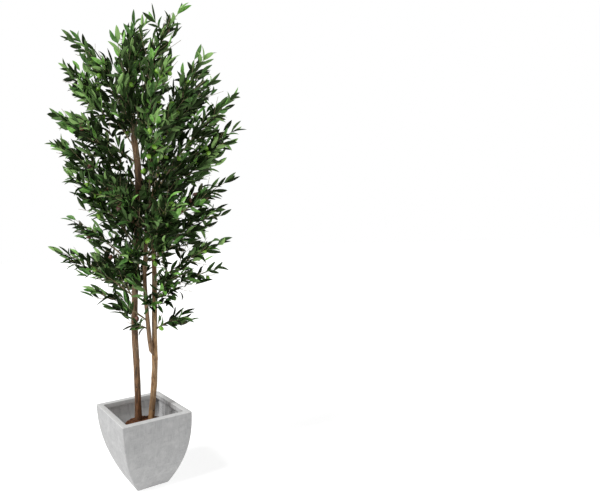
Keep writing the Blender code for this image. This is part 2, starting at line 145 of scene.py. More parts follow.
def pointAlong(points, distance):
    for low, high in zip(points, points[1:]):
        step = (high - low).length
        if distance <= step:
            return low.lerp(high, distance / step)
        distance -= step
    return points[-1].copy()


def stretchOf(points, start, end, count):
    return [pointAlong(points, start + (end - start) * index / (count - 1))
            for index in range(count)]


def headingAt(points, distance):
    behind = pointAlong(points, max(distance - headingStep, 0))
    ahead = pointAlong(points, min(distance + headingStep, lengthOf(points)))
    return (ahead - behind).normalized()


def offAxis(along, roll, angle):
    spoke = Quaternion(along, roll) @ along.orthogonal().normalized()
    return along * cos(angle) + spoke * sin(angle)


def tapering(radii, count):
    return [radii[0] + (radii[1] - radii[0]) * index / (count - 1) for index in range(count)]


def tube(route, radii, sides):
    rings = []
    across = (route[1] - route[0]).orthogonal().normalized()
    for index, point in enumerate(route):
        before = route[max(index - 1, 0)]
        after = route[min(index + 1, len(route) - 1)]
        heading = (after - before).normalized()
        across = (across - heading * across.dot(heading)).normalized()
        beside = heading.cross(across)
        rings.append([point + (across * cos(angle) + beside * sin(angle)) * radii[index]
                      for angle in allRound(sides)])
    return rings


# shared shader effects

def newGroup(name, inputs, outputs=("Color", "Roughness", "Height")):
    group = bpy.data.node_groups.new(name, "ShaderNodeTree")
    kinds = {True: "NodeSocketColor", False: "NodeSocketFloat"}
    for label, value in inputs.items():
        made = group.interface.new_socket(label, in_out="INPUT",
                                          socket_type=kinds[isinstance(value, tuple)])
        made.default_value = value
    for label in outputs:
        group.interface.new_socket(label, in_out="OUTPUT", socket_type=kinds[label == "Color"])
    return group, group.nodes.new("NodeGroupInput"), group.nodes.new("NodeGroupOutput")


def addNode(tree, kind, **inputs):  # inputs: a value, or a socket to link
    node = tree.nodes.new(kind)
    for label, value in inputs.items():
        connect(tree, value, node.inputs[label.replace("_", " ")])
    return node


def connect(tree, value, socket):
    if isinstance(value, bpy.types.NodeSocket):
        tree.links.new(value, socket)
    else:
        socket.default_value = value


def sendOut(group, outside, **values):
    for label, value in values.items():
        group.links.new(value, outside.inputs[label])


def objectPlace(tree):
    return tree.nodes.new("ShaderNodeTexCoord").outputs["Object"]


def mixColour(tree, factor, first, second, blend="MIX"):
    node = tree.nodes.new("ShaderNodeMix")
    node.data_type = "RGBA"
    node.blend_type = blend
    for socket, value in zip((node.inputs[0], node.inputs[6], node.inputs[7]),
                             (factor, first, second)):
        connect(tree, value, socket)
    return node.outputs[2]


def calc(tree, operation, first, second=0.0, third=0.0):
    node = tree.nodes.new("ShaderNodeMath")
    node.operation = operation
    for socket, value in zip(node.inputs, (first, second, third)):
        connect(tree, value, socket)
    return node.outputs[0]


def spread(tree, value, low, high, outLow=0.0, outHigh=1.0):  # smooth step from low to high
    node = tree.nodes.new("ShaderNodeMapRange")
    node.interpolation_type = "SMOOTHSTEP"
    for socket, number in zip(node.inputs, (value, low, high, outLow, outHigh)):
        connect(tree, number, socket)
    return node.outputs[0]


def placeNoise(tree, scale, stretch=(1, 1, 1), detail=4.0, roughness=0.55, distortion=0.0,
               offset=(0, 0, 0)):
    where = objectPlace(tree)
    shift = tree.nodes.new("ShaderNodeMapping")
    shift.inputs["Scale"].default_value = stretch
    shift.inputs["Location"].default_value = offset
    tree.links.new(where, shift.inputs["Vector"])
    made = addNode(tree, "ShaderNodeTexNoise", Scale=scale, Detail=detail, Roughness=roughness,
                   Distortion=distortion)
    tree.links.new(shift.outputs["Vector"], made.inputs["Vector"])
    return made.outputs["Fac"]


def colour(red, green, blue):
    return (red, green, blue, 1.0)


def grey(level):
    return colour(level, level, level)


def grainGroup():  # lengthwise wood grain with grey weathering and fine pores, and painted shade that darkens and reddens it towards the foot
    group, inside, outside = newGroup("wood grain", {
        "Pale": colour(0.3, 0.2, 0.1),
        "Dark": colour(0.1, 0.06, 0.03),
        "Weathered": colour(0.25, 0.22, 0.18),
        "Grain Scale": 90.0,
        "Weathering": 0.4,
        "Foot Shade": colour(0.1, 0.04, 0.02),
        "Foot Shade Top": 0.0,
    })
    streaks = placeNoise(group, inside.outputs["Grain Scale"], stretch=(1, 1, 0.16), detail=7.0,
                         roughness=0.66, distortion=0.4)
    patches = placeNoise(group, 26.0, stretch=(1, 1, 0.35), detail=5.0, roughness=0.62,
                         distortion=0.5, offset=(3, 1, 7))
    fibres = placeNoise(group, 420.0, stretch=(1, 1, 0.08), detail=3.0, roughness=0.6)
    tone = mixColour(group, spread(group, streaks, 0.36, 0.64), inside.outputs["Dark"],
                     inside.outputs["Pale"])
    aged = calc(group, "MULTIPLY", spread(group, patches, 0.46, 0.66),
                inside.outputs["Weathering"])
    tone = mixColour(group, aged, tone, inside.outputs["Weathered"])
    where = objectPlace(group)
    place = addNode(group, "ShaderNodeSeparateXYZ", Vector=where)
    wavy = calc(group, "MULTIPLY_ADD", patches, 0.16, -0.08)
    # painted shade: below the given height the wood is darkened and reddened towards the foot
    below = calc(group, "SUBTRACT", inside.outputs["Foot Shade Top"],
                 calc(group, "ADD", place.outputs["Z"], wavy))
    footShade = spread(group, below, -0.02, 0.10, 0.0, 0.8)
    tone = mixColour(group, footShade, tone, inside.outputs["Foot Shade"], "MULTIPLY")
    dull = spread(group, fibres, 0.3, 0.7, 0.80, 1.14)
    tone = mixColour(group, 1.0, tone, dull, "MULTIPLY")
    sendOut(group, outside, Color=tone, Roughness=spread(group, patches, 0.3, 0.7, 0.86, 0.62),
            Height=calc(group, "MULTIPLY_ADD", fibres, 0.45, streaks))
    return group


def castGroup():  # cast fibre concrete: float marks, blotches and pores, with painted shade in the pores
    group, inside, outside = newGroup("cast surface", {
        "Base": grey(0.5),
        "Deep": grey(0.35),
        "Bloom": grey(0.65),
        "Marks": 0.5,
        "Blotches": 0.4,
        "Streak Scale": 210.0,
    })
    level = placeNoise(group, 170.0, stretch=(0.16, 0.16, 1.0), detail=6.0, roughness=0.7,
                       distortion=0.3)
    plumb = placeNoise(group, inside.outputs["Streak Scale"], stretch=(1.0, 1.0, 0.10),
                       detail=6.0, roughness=0.7, distortion=0.2, offset=(5, 2, 0))
    cloud = placeNoise(group, 24.0, detail=8.0, roughness=0.7, distortion=0.6, offset=(1, 8, 3))
    grit = placeNoise(group, 900.0, detail=2.0, roughness=0.6)
    pores = addNode(group, "ShaderNodeTexVoronoi", Scale=210.0)
    group.links.new(objectPlace(group), pores.inputs["Vector"])
    pits = spread(group, pores.outputs["Distance"], 0.05, 0.2, 1.0, 0.0)
    pits = calc(group, "MULTIPLY", pits, spread(group, cloud, 0.5, 0.62))
    marks = calc(group, "MULTIPLY", spread(group, level, 0.50, 0.72), inside.outputs["Marks"])
    tone = mixColour(group, marks, inside.outputs["Base"], inside.outputs["Deep"])
    upright = calc(group, "MULTIPLY", spread(group, plumb, 0.46, 0.68), inside.outputs["Marks"])
    tone = mixColour(group, upright, tone, inside.outputs["Deep"])
    pale = calc(group, "MULTIPLY", spread(group, cloud, 0.44, 0.7), inside.outputs["Blotches"])
    tone = mixColour(group, pale, tone, inside.outputs["Bloom"])
    tone = mixColour(group, 1.0, tone, spread(group, grit, 0.25, 0.75, 0.94, 1.05), "MULTIPLY")
    # painted shade in the pores: the pits are darkened towards the deep grey
    tone = mixColour(group, calc(group, "MULTIPLY", pits, 0.5), tone, inside.outputs["Deep"])
    rough = spread(group, cloud, 0.3, 0.7, 0.92, 0.74)
    height = calc(group, "MULTIPLY_ADD", grit, 0.25, cloud)
    height = calc(group, "MULTIPLY_ADD", pits, -0.6, height)
    sendOut(group, outside, Color=tone, Roughness=rough, Height=height)
    return group


def mottleGroup():  # soft change of tone over leaves, fruit and moulded plastic
    group, inside, outside = newGroup("soft mottle", {
        "Base": colour(0.05, 0.1, 0.03),
        "Tint": colour(0.1, 0.12, 0.05),
        "Amount": 0.4,
        "Scale": 30.0,
        "Smooth": 0.4,
        "Dull": 0.6,
    })
    wide = placeNoise(group, inside.outputs["Scale"], detail=3.0, roughness=0.6, distortion=0.2)
    fine = placeNoise(group, 640.0, detail=2.0, roughness=0.6)
    share = calc(group, "MULTIPLY", spread(group, wide, 0.38, 0.66), inside.outputs["Amount"])
    tone = mixColour(group, share, inside.outputs["Base"], inside.outputs["Tint"])
    rough = spread(group, wide, 0.3, 0.7, inside.outputs["Smooth"], inside.outputs["Dull"])
    sendOut(group, outside, Color=tone, Roughness=rough, Height=fine)
    return group


def dustGroup():  # pale dust on what faces up
    group, inside, outside = newGroup("settled dust", {
        "Color": grey(0.1),
        "Dust": colour(0.5, 0.48, 0.44),
        "Amount": 0.3,
    }, ("Color", "Mask"))
    shape = group.nodes.new("ShaderNodeNewGeometry")
    apart = group.nodes.new("ShaderNodeSeparateXYZ")
    group.links.new(shape.outputs["Normal"], apart.inputs[0])
    facing = spread(group, apart.outputs["Z"], 0.2, 0.95)
    patch = placeNoise(group, 70.0, roughness=0.65, offset=(2, 2, 2))
    mask = calc(group, "MULTIPLY", facing, spread(group, patch, 0.35, 0.65))
    mask = calc(group, "MULTIPLY", mask, inside.outputs["Amount"])
    tone = mixColour(group, mask, inside.outputs["Color"], inside.outputs["Dust"])
    sendOut(group, outside, Color=tone, Mask=mask)
    return group


woodGrain = grainGroup()
castSurface = castGroup()
softMottle = mottleGroup()
settledDust = dustGroup()
print("shader groups built")


def makeMaterial(name, group, groupValues, bump, dust=None, **shaderValues):
    look = bpy.data.materials.new(name)
    look.use_nodes = True
    tree = look.node_tree
    shader = tree.nodes["Principled BSDF"]
    for label, value in shaderValues.items():
        shader.inputs[label.replace("_", " ")].default_value = value
    effect = tree.nodes.new("ShaderNodeGroup")
    effect.node_tree = group
    for label, value in groupValues.items():
        effect.inputs[label].default_value = value
    tone = effect.outputs["Color"]
    if dust:
        film = tree.nodes.new("ShaderNodeGroup")
        film.node_tree = settledDust
        for label, value in dust.items():
            film.inputs[label].default_value = value
        tree.links.new(tone, film.inputs["Color"])
        tone = film.outputs["Color"]
    tree.links.new(tone, shader.inputs["Base Color"])
    tree.links.new(effect.outputs["Roughness"], shader.inputs["Roughness"])
    relief = addNode(tree, "ShaderNodeBump", Strength=bump["strength"], Distance=bump["depth"])
    tree.links.new(effect.outputs["Height"], relief.inputs["Height"])
    tree.links.new(relief.outputs["Normal"], shader.inputs["Normal"])
    return look


# planter: a cast square tub whose sides bulge as they rise

planterShape = {"height": 0.316, "topHalf": 0.160, "footHalf": 0.0738, "bulgePower": 2.21,
                "wall": 0.012, "floor": 0.015, "corner": 0.0055, "rimWidth": 0.0267,
                "rimDepth": 0.022, "edge": 0.0016, "edgeEase": 0.3, "levels": 26,
                "sidePoints": 10, "cornerPoints": 4, "unevenness": 0.0005,
                "unevenScales": (22, 60), "streakyShadedNear": 0.002}
planterLooks = {  # the finish of each material slot: outside; inside, painted lighter as painted light in its shade; rim, painted lighter as a painted highlight on its top and edges; streaky wall, its streaks with painted shade
    "grey fibre concrete": {"Base": grey(0.400), "Deep": colour(0.295, 0.295, 0.298),
                            "Bloom": colour(0.50, 0.50, 0.495), "Marks": 0.65, "Blotches": 0.6},
    # inside: a far paler grey than the outside, painted light where the inside lies in shade
    "concrete inside painted lighter": {"Base": grey(0.93), "Deep": grey(0.60), "Bloom": grey(0.95),
                         "Marks": 0.6, "Blotches": 0.4, "Streak Scale": 90.0},
    # rim: paler than the outside, a painted highlight on the rim top and its edges
    "concrete rim painted lighter": {"Base": colour(0.62, 0.62, 0.615), "Deep": grey(0.50),
                          "Bloom": colour(0.69, 0.69, 0.685), "Marks": 0.5, "Blotches": 0.6},
    # streaky wall: streaks, and a darker grey that paints shade on the inner wall on the +X side
    "streaky concrete with painted shade": {"Base": grey(0.52), "Deep": grey(0.20), "Bloom": grey(0.60),
                                "Marks": 0.9, "Blotches": 0.2, "Streak Scale": 60.0},
}
planterReliefs = [{"strength": 0.35, "depth": 0.0012}, {"strength": 0.5, "depth": 0.0015}] * 2


def planterHalf(height):
    bulge = 1 - (1 - height / planterShape["height"]) ** planterShape["bulgePower"]
    return between((planterShape["footHalf"], planterShape["topHalf"]), bulge)


def squareRing(half, corner, height):  # rounded corners, with points along the flats too
    ring = []
    for quarter in range(4):
        diagonal = pi / 4 + pi / 2 * quarter
        middle = (half - corner) * sqrt(2)
        for step in range(planterShape["cornerPoints"] + 1):
            angle = pi / 2 * (quarter + step / planterShape["cornerPoints"])
            ring.append(Vector((middle * cos(diagonal) + corner * cos(angle),
                                middle * sin(diagonal) + corner * sin(angle), height)))
        start = ring[-1]
        turned = pi / 2 * (quarter + 1)
        run = Vector((-sin(turned), cos(turned), 0)) * 2 * (half - corner)
        for step in range(1, planterShape["sidePoints"]):
            ring.append(start + run * step / planterShape["sidePoints"])
    return ring


def planterRings():  # up the outside, over the rim and down the inside
    shape = planterShape
    top, edge, corner, topHalf = (shape[key] for key in ("height", "edge", "corner", "topHalf"))
    eased = edge * shape["edgeEase"]
    underRim = top - shape["rimDepth"]
    rimInside = topHalf - shape["rimWidth"]
    levels = shape["levels"]
    sections = [(shape["footHalf"] - edge, corner - edge, 0)]
    for level in range(levels + 1):
        height = edge + (top - 2 * edge) * level / levels
        sections.append((planterHalf(height), corner, height))
    firstRim = len(sections) - 1
    sections += [(topHalf - eased, corner, top - eased), (topHalf - edge, corner - edge, top),
                 (rimInside + edge, corner, top), (rimInside + eased, corner, top - eased),
                 (rimInside, corner - edge, top - edge)]
    firstInside = len(sections) - 1
    sections += [(rimInside, corner - edge, underRim + edge),
                 (rimInside + edge, corner - edge, underRim)]
    for level in range(levels + 1):
        height = underRim + (shape["floor"] - underRim) * level / levels
        sections.append((planterHalf(height) - shape["wall"], corner, height))
    return [squareRing(*section) for section in sections], firstRim, firstInside, rimInside


def makePlanter():
    rings, firstRim, firstInside, rimInside = planterRings()
    broad, fine = planterShape["unevenScales"]
    for ring in rings[1:-1]:
        for point in ring:
            push = noise.noise(point * broad) + 0.5 * noise.noise(point * fine)
            outward = Vector((point.x, point.y, 0)).normalized()
            point += outward * min(0, push) * planterShape["unevenness"]
    vertices, faces = loft(rings)
    outside, within, rim, streakyShaded = range(4)
    slots = [outside]
    for index in range(len(faces) - 2):
        ring = index // len(rings[0])
        # the inner wall on the +X side takes the streaky slot, with its painted shade
        onStreakyShadedSide = vertices[faces[index + 1][0]].x > rimInside - planterShape["streakyShadedNear"]
        if ring < firstRim:
            slots.append(outside)
        elif ring >= firstInside and onStreakyShadedSide:
            slots.append(streakyShaded)
        else:
            slots.append(within if ring > firstInside else rim)
    slots.append(within)
    looks = [makeMaterial(name, castSurface, values, relief)
             for (name, values), relief in zip(planterLooks.items(), planterReliefs)]
    piece = makePiece("planterShell", vertices, faces, looks, slots, sharpAngle=40)
    settle(piece, "grey_fibre_concrete", "planter")
    print("planter made,", len(rings), "rings")


makePlanter()

# inner pot: the weighted black pot that the stems are set in

potShape = {"offCentre": (0.010, -0.020), "footRadius": 0.047, "topRadius": 0.095,
            "foot": 0.0153, "top": 0.250, "lip": 0.004, "bead": 0.0022, "bed": 0.2357,
            "rib": 0.0006, "ribEvery": 3, "wallIn": 0.001, "neckIn": 0.0012, "mouthIn": 0.0008,
            "rollTurn": 1.25, "rollSteps": 8, "sides": 96, "levels": 18}
potLook = {"Base": colour(0.016, 0.016, 0.017), "Tint": colour(0.035, 0.034, 0.032),
           "Amount": 0.6, "Scale": 45.0, "Smooth": 0.38, "Dull": 0.6}
potDust = {"Dust": colour(0.30, 0.25, 0.2), "Amount": 0.45}


def potProfile():  # (radius, height) from the foot, over the rolled rim, down to the filling
    shape = potShape
    bead = shape["bead"]
    profile = [(shape["footRadius"] - bead, shape["foot"]),
               (shape["footRadius"], shape["foot"] + bead)]
    for level in range(1, shape["levels"]):
        share = level / shape["levels"]
        radius = between((shape["footRadius"], shape["topRadius"]), share)
        rib = shape["rib"] * (level % shape["ribEvery"] == 0)
        height = between((shape["foot"], shape["top"]), share)
        profile.append((radius - shape["wallIn"] - rib, height))
    rim = shape["topRadius"] - bead
    profile.append((rim - shape["neckIn"], shape["top"] - 4 * bead))
    for step in range(shape["rollSteps"] + 1):
        angle = -pi / 2 + pi * shape["rollTurn"] * step / shape["rollSteps"]
        profile.append((rim + bead * cos(angle), shape["top"] - bead + bead * sin(angle)))
    mouth = shape["topRadius"] - shape["lip"]
    profile.append((mouth - shape["mouthIn"], shape["top"] - 2 * bead))
    profile.append((mouth - shape["neckIn"], shape["bed"]))
    return profile


def makeInnerPot():
    middleX, middleY = potShape["offCentre"]
    rings = [[turnTree((middleX + radius * cos(angle), middleY + radius * sin(angle), height))
              for angle in allRound(potShape["sides"])] for radius, height in potProfile()]
    vertices, faces = loft(rings)
    look = makeMaterial("black moulded plastic", softMottle, potLook,
                        {"strength": 0.2, "depth": 0.0006}, potDust)
    piece = makePiece("innerPot", vertices, faces, [look], sharpAngle=35)
    settle(piece, "black_plastic", "inner_pot")
    print("inner pot made,", len(rings), "rings")


makeInnerPot()

# mulch: a bed of rust-brown coir over the pot's filling

mulchShape = {"radius": 0.0907, "low": 0.236, "top": 0.2535, "relief": 0.0024, "rings": 34,
              "sides": 120, "lumpScale": 45, "crumbScale": 190, "lump": 1.1, "crumb": 0.7,
              "sunk": 0.55}
mulchLook = {"Base": colour(0.145, 0.045, 0.018), "Tint": colour(0.035, 0.014, 0.008),
             "Amount": 0.9, "Scale": 160.0, "Smooth": 0.85, "Dull": 0.98}
coirShape = {"count": 2600, "length": (0.008, 0.026), "radius": (0.00022, 0.00055), "sides": 4,
             "points": 5, "within": 0.985, "bend": 1.6, "arch": 0.0035, "mix": (5, 4, 2)}
coirColours = {"rust coir": colour(0.27, 0.085, 0.030), "brown coir": colour(0.13, 0.055, 0.026),
               "pale coir": colour(0.33, 0.17, 0.075)}
coirLook = {"Tint": colour(0.06, 0.03, 0.015), "Amount": 0.5, "Scale": 90.0, "Smooth": 0.8,
            "Dull": 0.95}
bedCentre = Vector((*potShape["offCentre"], 0))


def bumpsAt(place, scale, layer):
    return noise.noise(Vector((place.x * scale, place.y * scale, layer)))


def mulchHeight(place):  # gentle lumps over the bed, in the tree's own frame
    lump = bumpsAt(place, mulchShape["lumpScale"], 3.1) * mulchShape["lump"]
    crumb = bumpsAt(place, mulchShape["crumbScale"], 8.4) * mulchShape["crumb"]
    return mulchShape["top"] + mulchShape["relief"] * (lump + crumb - mulchShape["sunk"])


def makeMulchBed():
    shape = mulchShape
    radii = [shape["radius"] * step / shape["rings"] for step in range(shape["rings"], 0, -1)]
    rings = []
    for radius in [shape["radius"], *radii]:
        ring = []
        for angle in allRound(shape["sides"]):
            place = bedCentre + Vector((radius * cos(angle), radius * sin(angle), 0))
            place.z = mulchHeight(place) if rings else shape["low"]
            ring.append(turnTree(place))
        rings.append(ring)
    vertices, faces = loft(rings)
    look = makeMaterial("rust brown coir bed", softMottle, mulchLook,
                        {"strength": 1.0, "depth": 0.003})
    piece = makePiece("mulchBed", vertices, faces, [look], sharpAngle=80)
    settle(piece, "rust_brown_coir", "mulch")
    print("mulch bed made,", len(rings), "rings")


def coirFibre(rng):  # one fibre's points, radius and colour, lying on the bed
    furthest = mulchShape["radius"] * coirShape["within"]
    radius = furthest * sqrt(rng.random())
    angle = anyRoll(rng)
    place = bedCentre + Vector((radius * cos(angle), radius * sin(angle), 0))
    heading = anyRoll(rng)
    bend = swing(rng, coirShape["bend"])
    length = rng.uniform(*coirShape["length"])
    thick = rng.uniform(*coirShape["radius"])
    arch = rng.uniform(0.0, coirShape["arch"])
    slot = rng.choices(range(len(coirColours)), coirShape["mix"])[0]
    count = coirShape["points"]
    points = []
    for step in range(count):
        height = mulchHeight(place) + thick + arch * sin(pi * step / (count - 1))
        points.append(turnTree((place.x, place.y, height)))
        heading += bend / count
        onward = Vector((cos(heading), sin(heading), 0)) * length / count
        if (place + onward - bedCentre).xy.length > furthest:
            heading += pi / 2
            onward = (bedCentre - place).normalized() * onward.length
        place = place + onward
    return points, thick, slot


def makeCoirFibres():
    rng = Random("coir")
    looks = [makeMaterial(name, softMottle, {"Base": tone, **coirLook},
                          {"strength": 0.4, "depth": 0.0004})
             for name, tone in coirColours.items()]
    batch = Batch()
    for _ in range(coirShape["count"]):
        points, thick, slot = coirFibre(rng)
        batch.add(tube(points, [thick] * len(points), coirShape["sides"]), slot)
    settle(batch.piece("coirFibres", looks, sharpAngle=60), "rust_brown_coir", "mulch")
    print("coir made,", coirShape["count"], "fibres")


makeMulchBed()
makeCoirFibres()

# trunks: three bare poles, the middle one a cut branch wired to the right one

mulchTop = 0.254
gap = 0.0003
seed = 41
trunkShapes = {
    "trunk_left": {
        "route": [(-0.021, 0.030, mulchTop + gap), (-0.017, 0.026, 0.45),
                  (-0.015, 0.018, 0.70), (0.012, 0.008, 1.02), (0.036, 0.002, 1.32),
                  (0.026, 0.004, 1.52)],
        "radii": (0.0150, 0.0145)},
    "trunk_right": {
        "route": [(0.036, 0.018, mulchTop + gap), (0.062, 0.010, 0.46),
                  (0.072, 0.004, 0.66), (0.083, 0.000, 0.88), (0.090, 0.006, 1.08),
                  (0.100, 0.010, 1.28)],
        "radii": (0.0140, 0.0090)},
    "trunk_middle": {
        "route": [(0.0525, -0.007, 0.545), (0.044, -0.017, 0.70), (0.041, -0.022, 0.90),
                  (0.057, -0.026, 1.06), (0.078, -0.026, 1.22)],
        "radii": (0.0100, 0.0078), "slant": 0.024},
}
trunkRule = {"rings": 15, "sides": 10, "flare": 0.05, "flareHeight": 0.05, "waver": 0.06}
trunkDetail = {"sides": 36, "ringStep": 0.0045, "flute": 0.065, "lump": 0.060, "crease": 0.04,
               "creaseFrom": 0.1, "cutRun": 0.06, "endRound": (0.955, 0.99),
               "fluteScales": (1.6, 5), "lumpScales": (1.2, 26), "creaseScales": (6, 11)}
# each pole's foot colour and its top height paint shade on the foot, darker and redder towards the
# planter
trunkLooks = {
    "trunk_left": {"Pale": colour(0.250, 0.139, 0.067), "Dark": colour(0.060, 0.033, 0.016),
                   "Weathered": colour(0.285, 0.200, 0.120), "Grain Scale": 120.0,
                   "Weathering": 0.55, "Foot Shade": colour(0.85, 0.58, 0.40), "Foot Shade Top": 0.42},
    "trunk_right": {"Pale": colour(0.385, 0.230, 0.106), "Dark": colour(0.125, 0.066, 0.029),
                    "Weathered": colour(0.380, 0.275, 0.165), "Grain Scale": 115.0,
                    "Weathering": 0.5, "Foot Shade": colour(1.0, 0.84, 0.66), "Foot Shade Top": 0.33},
    "trunk_middle": {"Pale": colour(0.300, 0.180, 0.095), "Dark": colour(0.085, 0.046, 0.023),
                     "Weathered": colour(0.320, 0.240, 0.160), "Grain Scale": 95.0,
                     "Weathering": 0.6},
}
sawnLook = {"Pale": colour(0.50, 0.38, 0.24), "Dark": colour(0.30, 0.20, 0.11),
            "Weathered": colour(0.42, 0.36, 0.28), "Grain Scale": 260.0, "Weathering": 0.5}
knotLook = {"Pale": colour(0.055, 0.028, 0.016), "Dark": colour(0.018, 0.010, 0.007),
            "Weathered": colour(0.08, 0.05, 0.03), "Grain Scale": 200.0, "Weathering": 0.4}
barkDust = {"Dust": colour(0.34, 0.30, 0.25), "Amount": 0.3}
knotShape = {"taller": 1.35, "reach": 3, "ring": 0.42, "ringSpread": 1.6, "hollow": 0.30,
             "hollowSpread": 0.16, "darkTo": 0.42}
# knots: height, bearing in degrees in the tree's frame, size in metres
trunkKnots = {
    "trunk_left": [(0.402, 250, 0.0060), (0.315, 150, 0.0045), (0.520, 20, 0.0055),
                   (0.585, 285, 0.0040), (0.700, 215, 0.0050), (0.840, 300, 0.0050),
                   (0.980, 90, 0.0055), (1.150, 260, 0.0045), (1.300, 200, 0.0050),
                   (1.420, 310, 0.0045)],
    "trunk_right": [(0.300, 290, 0.0050), (0.440, 205, 0.0050), (0.530, 340, 0.0045),
                    (0.625, 265, 0.0045), (0.760, 120, 0.0055), (0.880, 280, 0.0050),
                    (1.020, 230, 0.0045), (1.150, 300, 0.0045)],
    "trunk_middle": [(0.610, 240, 0.0042), (0.760, 300, 0.0040), (0.930, 250, 0.0042),
                     (1.100, 190, 0.0038)],
}


def trunkRoute(name, count=trunkRule["rings"]):
    return smoothRoute([turnTree(point) for point in trunkShapes[name]["route"]], count)


def trunkRadii(name):
    rng = Random(f"{seed} {name}")
    route = trunkRoute(name)
    radii = tapering(trunkShapes[name]["radii"], trunkRule["rings"])
    for index, point in enumerate(route):
        rise = point.z - route[0].z
        flare = trunkRule["flare"] * max(0, 1 - rise / trunkRule["flareHeight"])
        radii[index] *= 1 + flare + swing(rng, trunkRule["waver"])
    return radii


def barkNoise(angle, height, scales, shift):
    around, upward = scales
    return noise.noise(Vector((cos(angle) * around + shift[0], sin(angle) * around + shift[1],
                               height * upward + shift[2])))


def barkPush(name, angle, height, radius):  # how far the surface stands out, and if it is knot
    detail = trunkDetail
    key = len(name) * 3.7  # each pole its own bark
    flute = barkNoise(angle, height, detail["fluteScales"], (0, 0, key))
    lump = barkNoise(angle, height, detail["lumpScales"], (9, 0, key))
    crease = barkNoise(angle, height, detail["creaseScales"], (0, 4, key))
    push = radius * (detail["flute"] * flute + detail["lump"] * lump
                     - detail["crease"] * max(0, crease - detail["creaseFrom"]))
    isKnot = False
    for knotHeight, bearing, size in trunkKnots[name]:
        turned = (angle - radians(bearing) - treeTurn + pi) % (2 * pi) - pi
        across = turned * radius / size
        along = (height - knotHeight) / (size * knotShape["taller"])
        away = sqrt(across ** 2 + along ** 2)
        if away < knotShape["reach"]:
            ring = knotShape["ring"] * exp(-away ** 2 / knotShape["ringSpread"])
            hollow = knotShape["hollow"] * exp(-away ** 2 / knotShape["hollowSpread"])
            push += size * (ring - hollow)
            isKnot = isKnot or away < knotShape["darkTo"]
    return push, isKnot


def slantFoot(rings, slant):  # a pole that is tied on has its foot cut at a slant
    foot = rings[0][0].z
    run = trunkDetail["cutRun"]
    width = max((one - other).length for one in rings[0] for other in rings[0])
    middle = sum((point for point in rings[0]), Vector()) / len(rings[0])
    across = turnTree((1, 0, 0))
    for ring in rings:
        for point in ring:
            share = 0.5 - (point - middle).dot(across) / width
            if point.z < foot + run:
                point.z += slant * min(1, max(0, share)) * (1 - (point.z - foot) / run)


def trunkRings(name):  # rings of bark points, and which of the points are knot
    coarse = trunkRadii(name)
    count = int(lengthOf(trunkRoute(name)) / trunkDetail["ringStep"])
    route = trunkRoute(name, count)
    rings = []
    knots = []
    for index, point in enumerate(route):
        place = index / (count - 1) * (len(coarse) - 1)
        low = min(int(place), len(coarse) - 2)
        radius = between(coarse[low:low + 2], place - low)
        nearEnd = min(index, count - 1 - index)
        if nearEnd < len(trunkDetail["endRound"]):
            radius *= trunkDetail["endRound"][nearEnd]
        heading = (route[min(index + 1, count - 1)] - route[max(index - 1, 0)]).normalized()
        ring = []
        for angle in allRound(trunkDetail["sides"]):
            push, isKnot = barkPush(name, angle, point.z, radius)
            spoke = Vector((cos(angle), sin(angle), 0))
            if nearEnd > 0:
                spoke = (spoke - heading * spoke.dot(heading)).normalized()
            ring.append(point + spoke * (radius + push))
            knots.append(isKnot)
        rings.append(ring)
    slantFoot(rings, trunkShapes[name].get("slant", 0))
    return rings, knots


def makeTrunk(name, pieceName):
    rings, knots = trunkRings(name)
    vertices, faces = loft(rings)
    barkSlot, sawnSlot, knotSlot = range(3)
    sides = [knotSlot if isKnot else barkSlot for isKnot in knots[:len(faces) - 2]]
    looks = [makeMaterial(f"{pieceName} bark", woodGrain, trunkLooks[name],
                          {"strength": 0.7, "depth": 0.0018}, barkDust),
             makeMaterial(f"{pieceName} sawn end", woodGrain, sawnLook,
                          {"strength": 0.4, "depth": 0.0006}),
             makeMaterial(f"{pieceName} knot", woodGrain, knotLook,
                          {"strength": 0.8, "depth": 0.0012})]
    piece = makePiece(pieceName, vertices, faces, looks, [sawnSlot, *sides, sawnSlot],
                      sharpAngle=50)
    settle(piece, "bare_wood", name)
    print(pieceName, "made,", len(faces), "faces, radii", trunkShapes[name]["radii"])


for trunkName, pieceName in (("trunk_left", "trunkLeft"), ("trunk_right", "trunkRight"),
                             ("trunk_middle", "trunkMiddle")):
    makeTrunk(trunkName, pieceName)

# sprays: stem, height it leaves at (None: the cut top), bearing, reach, tip height, bare bough

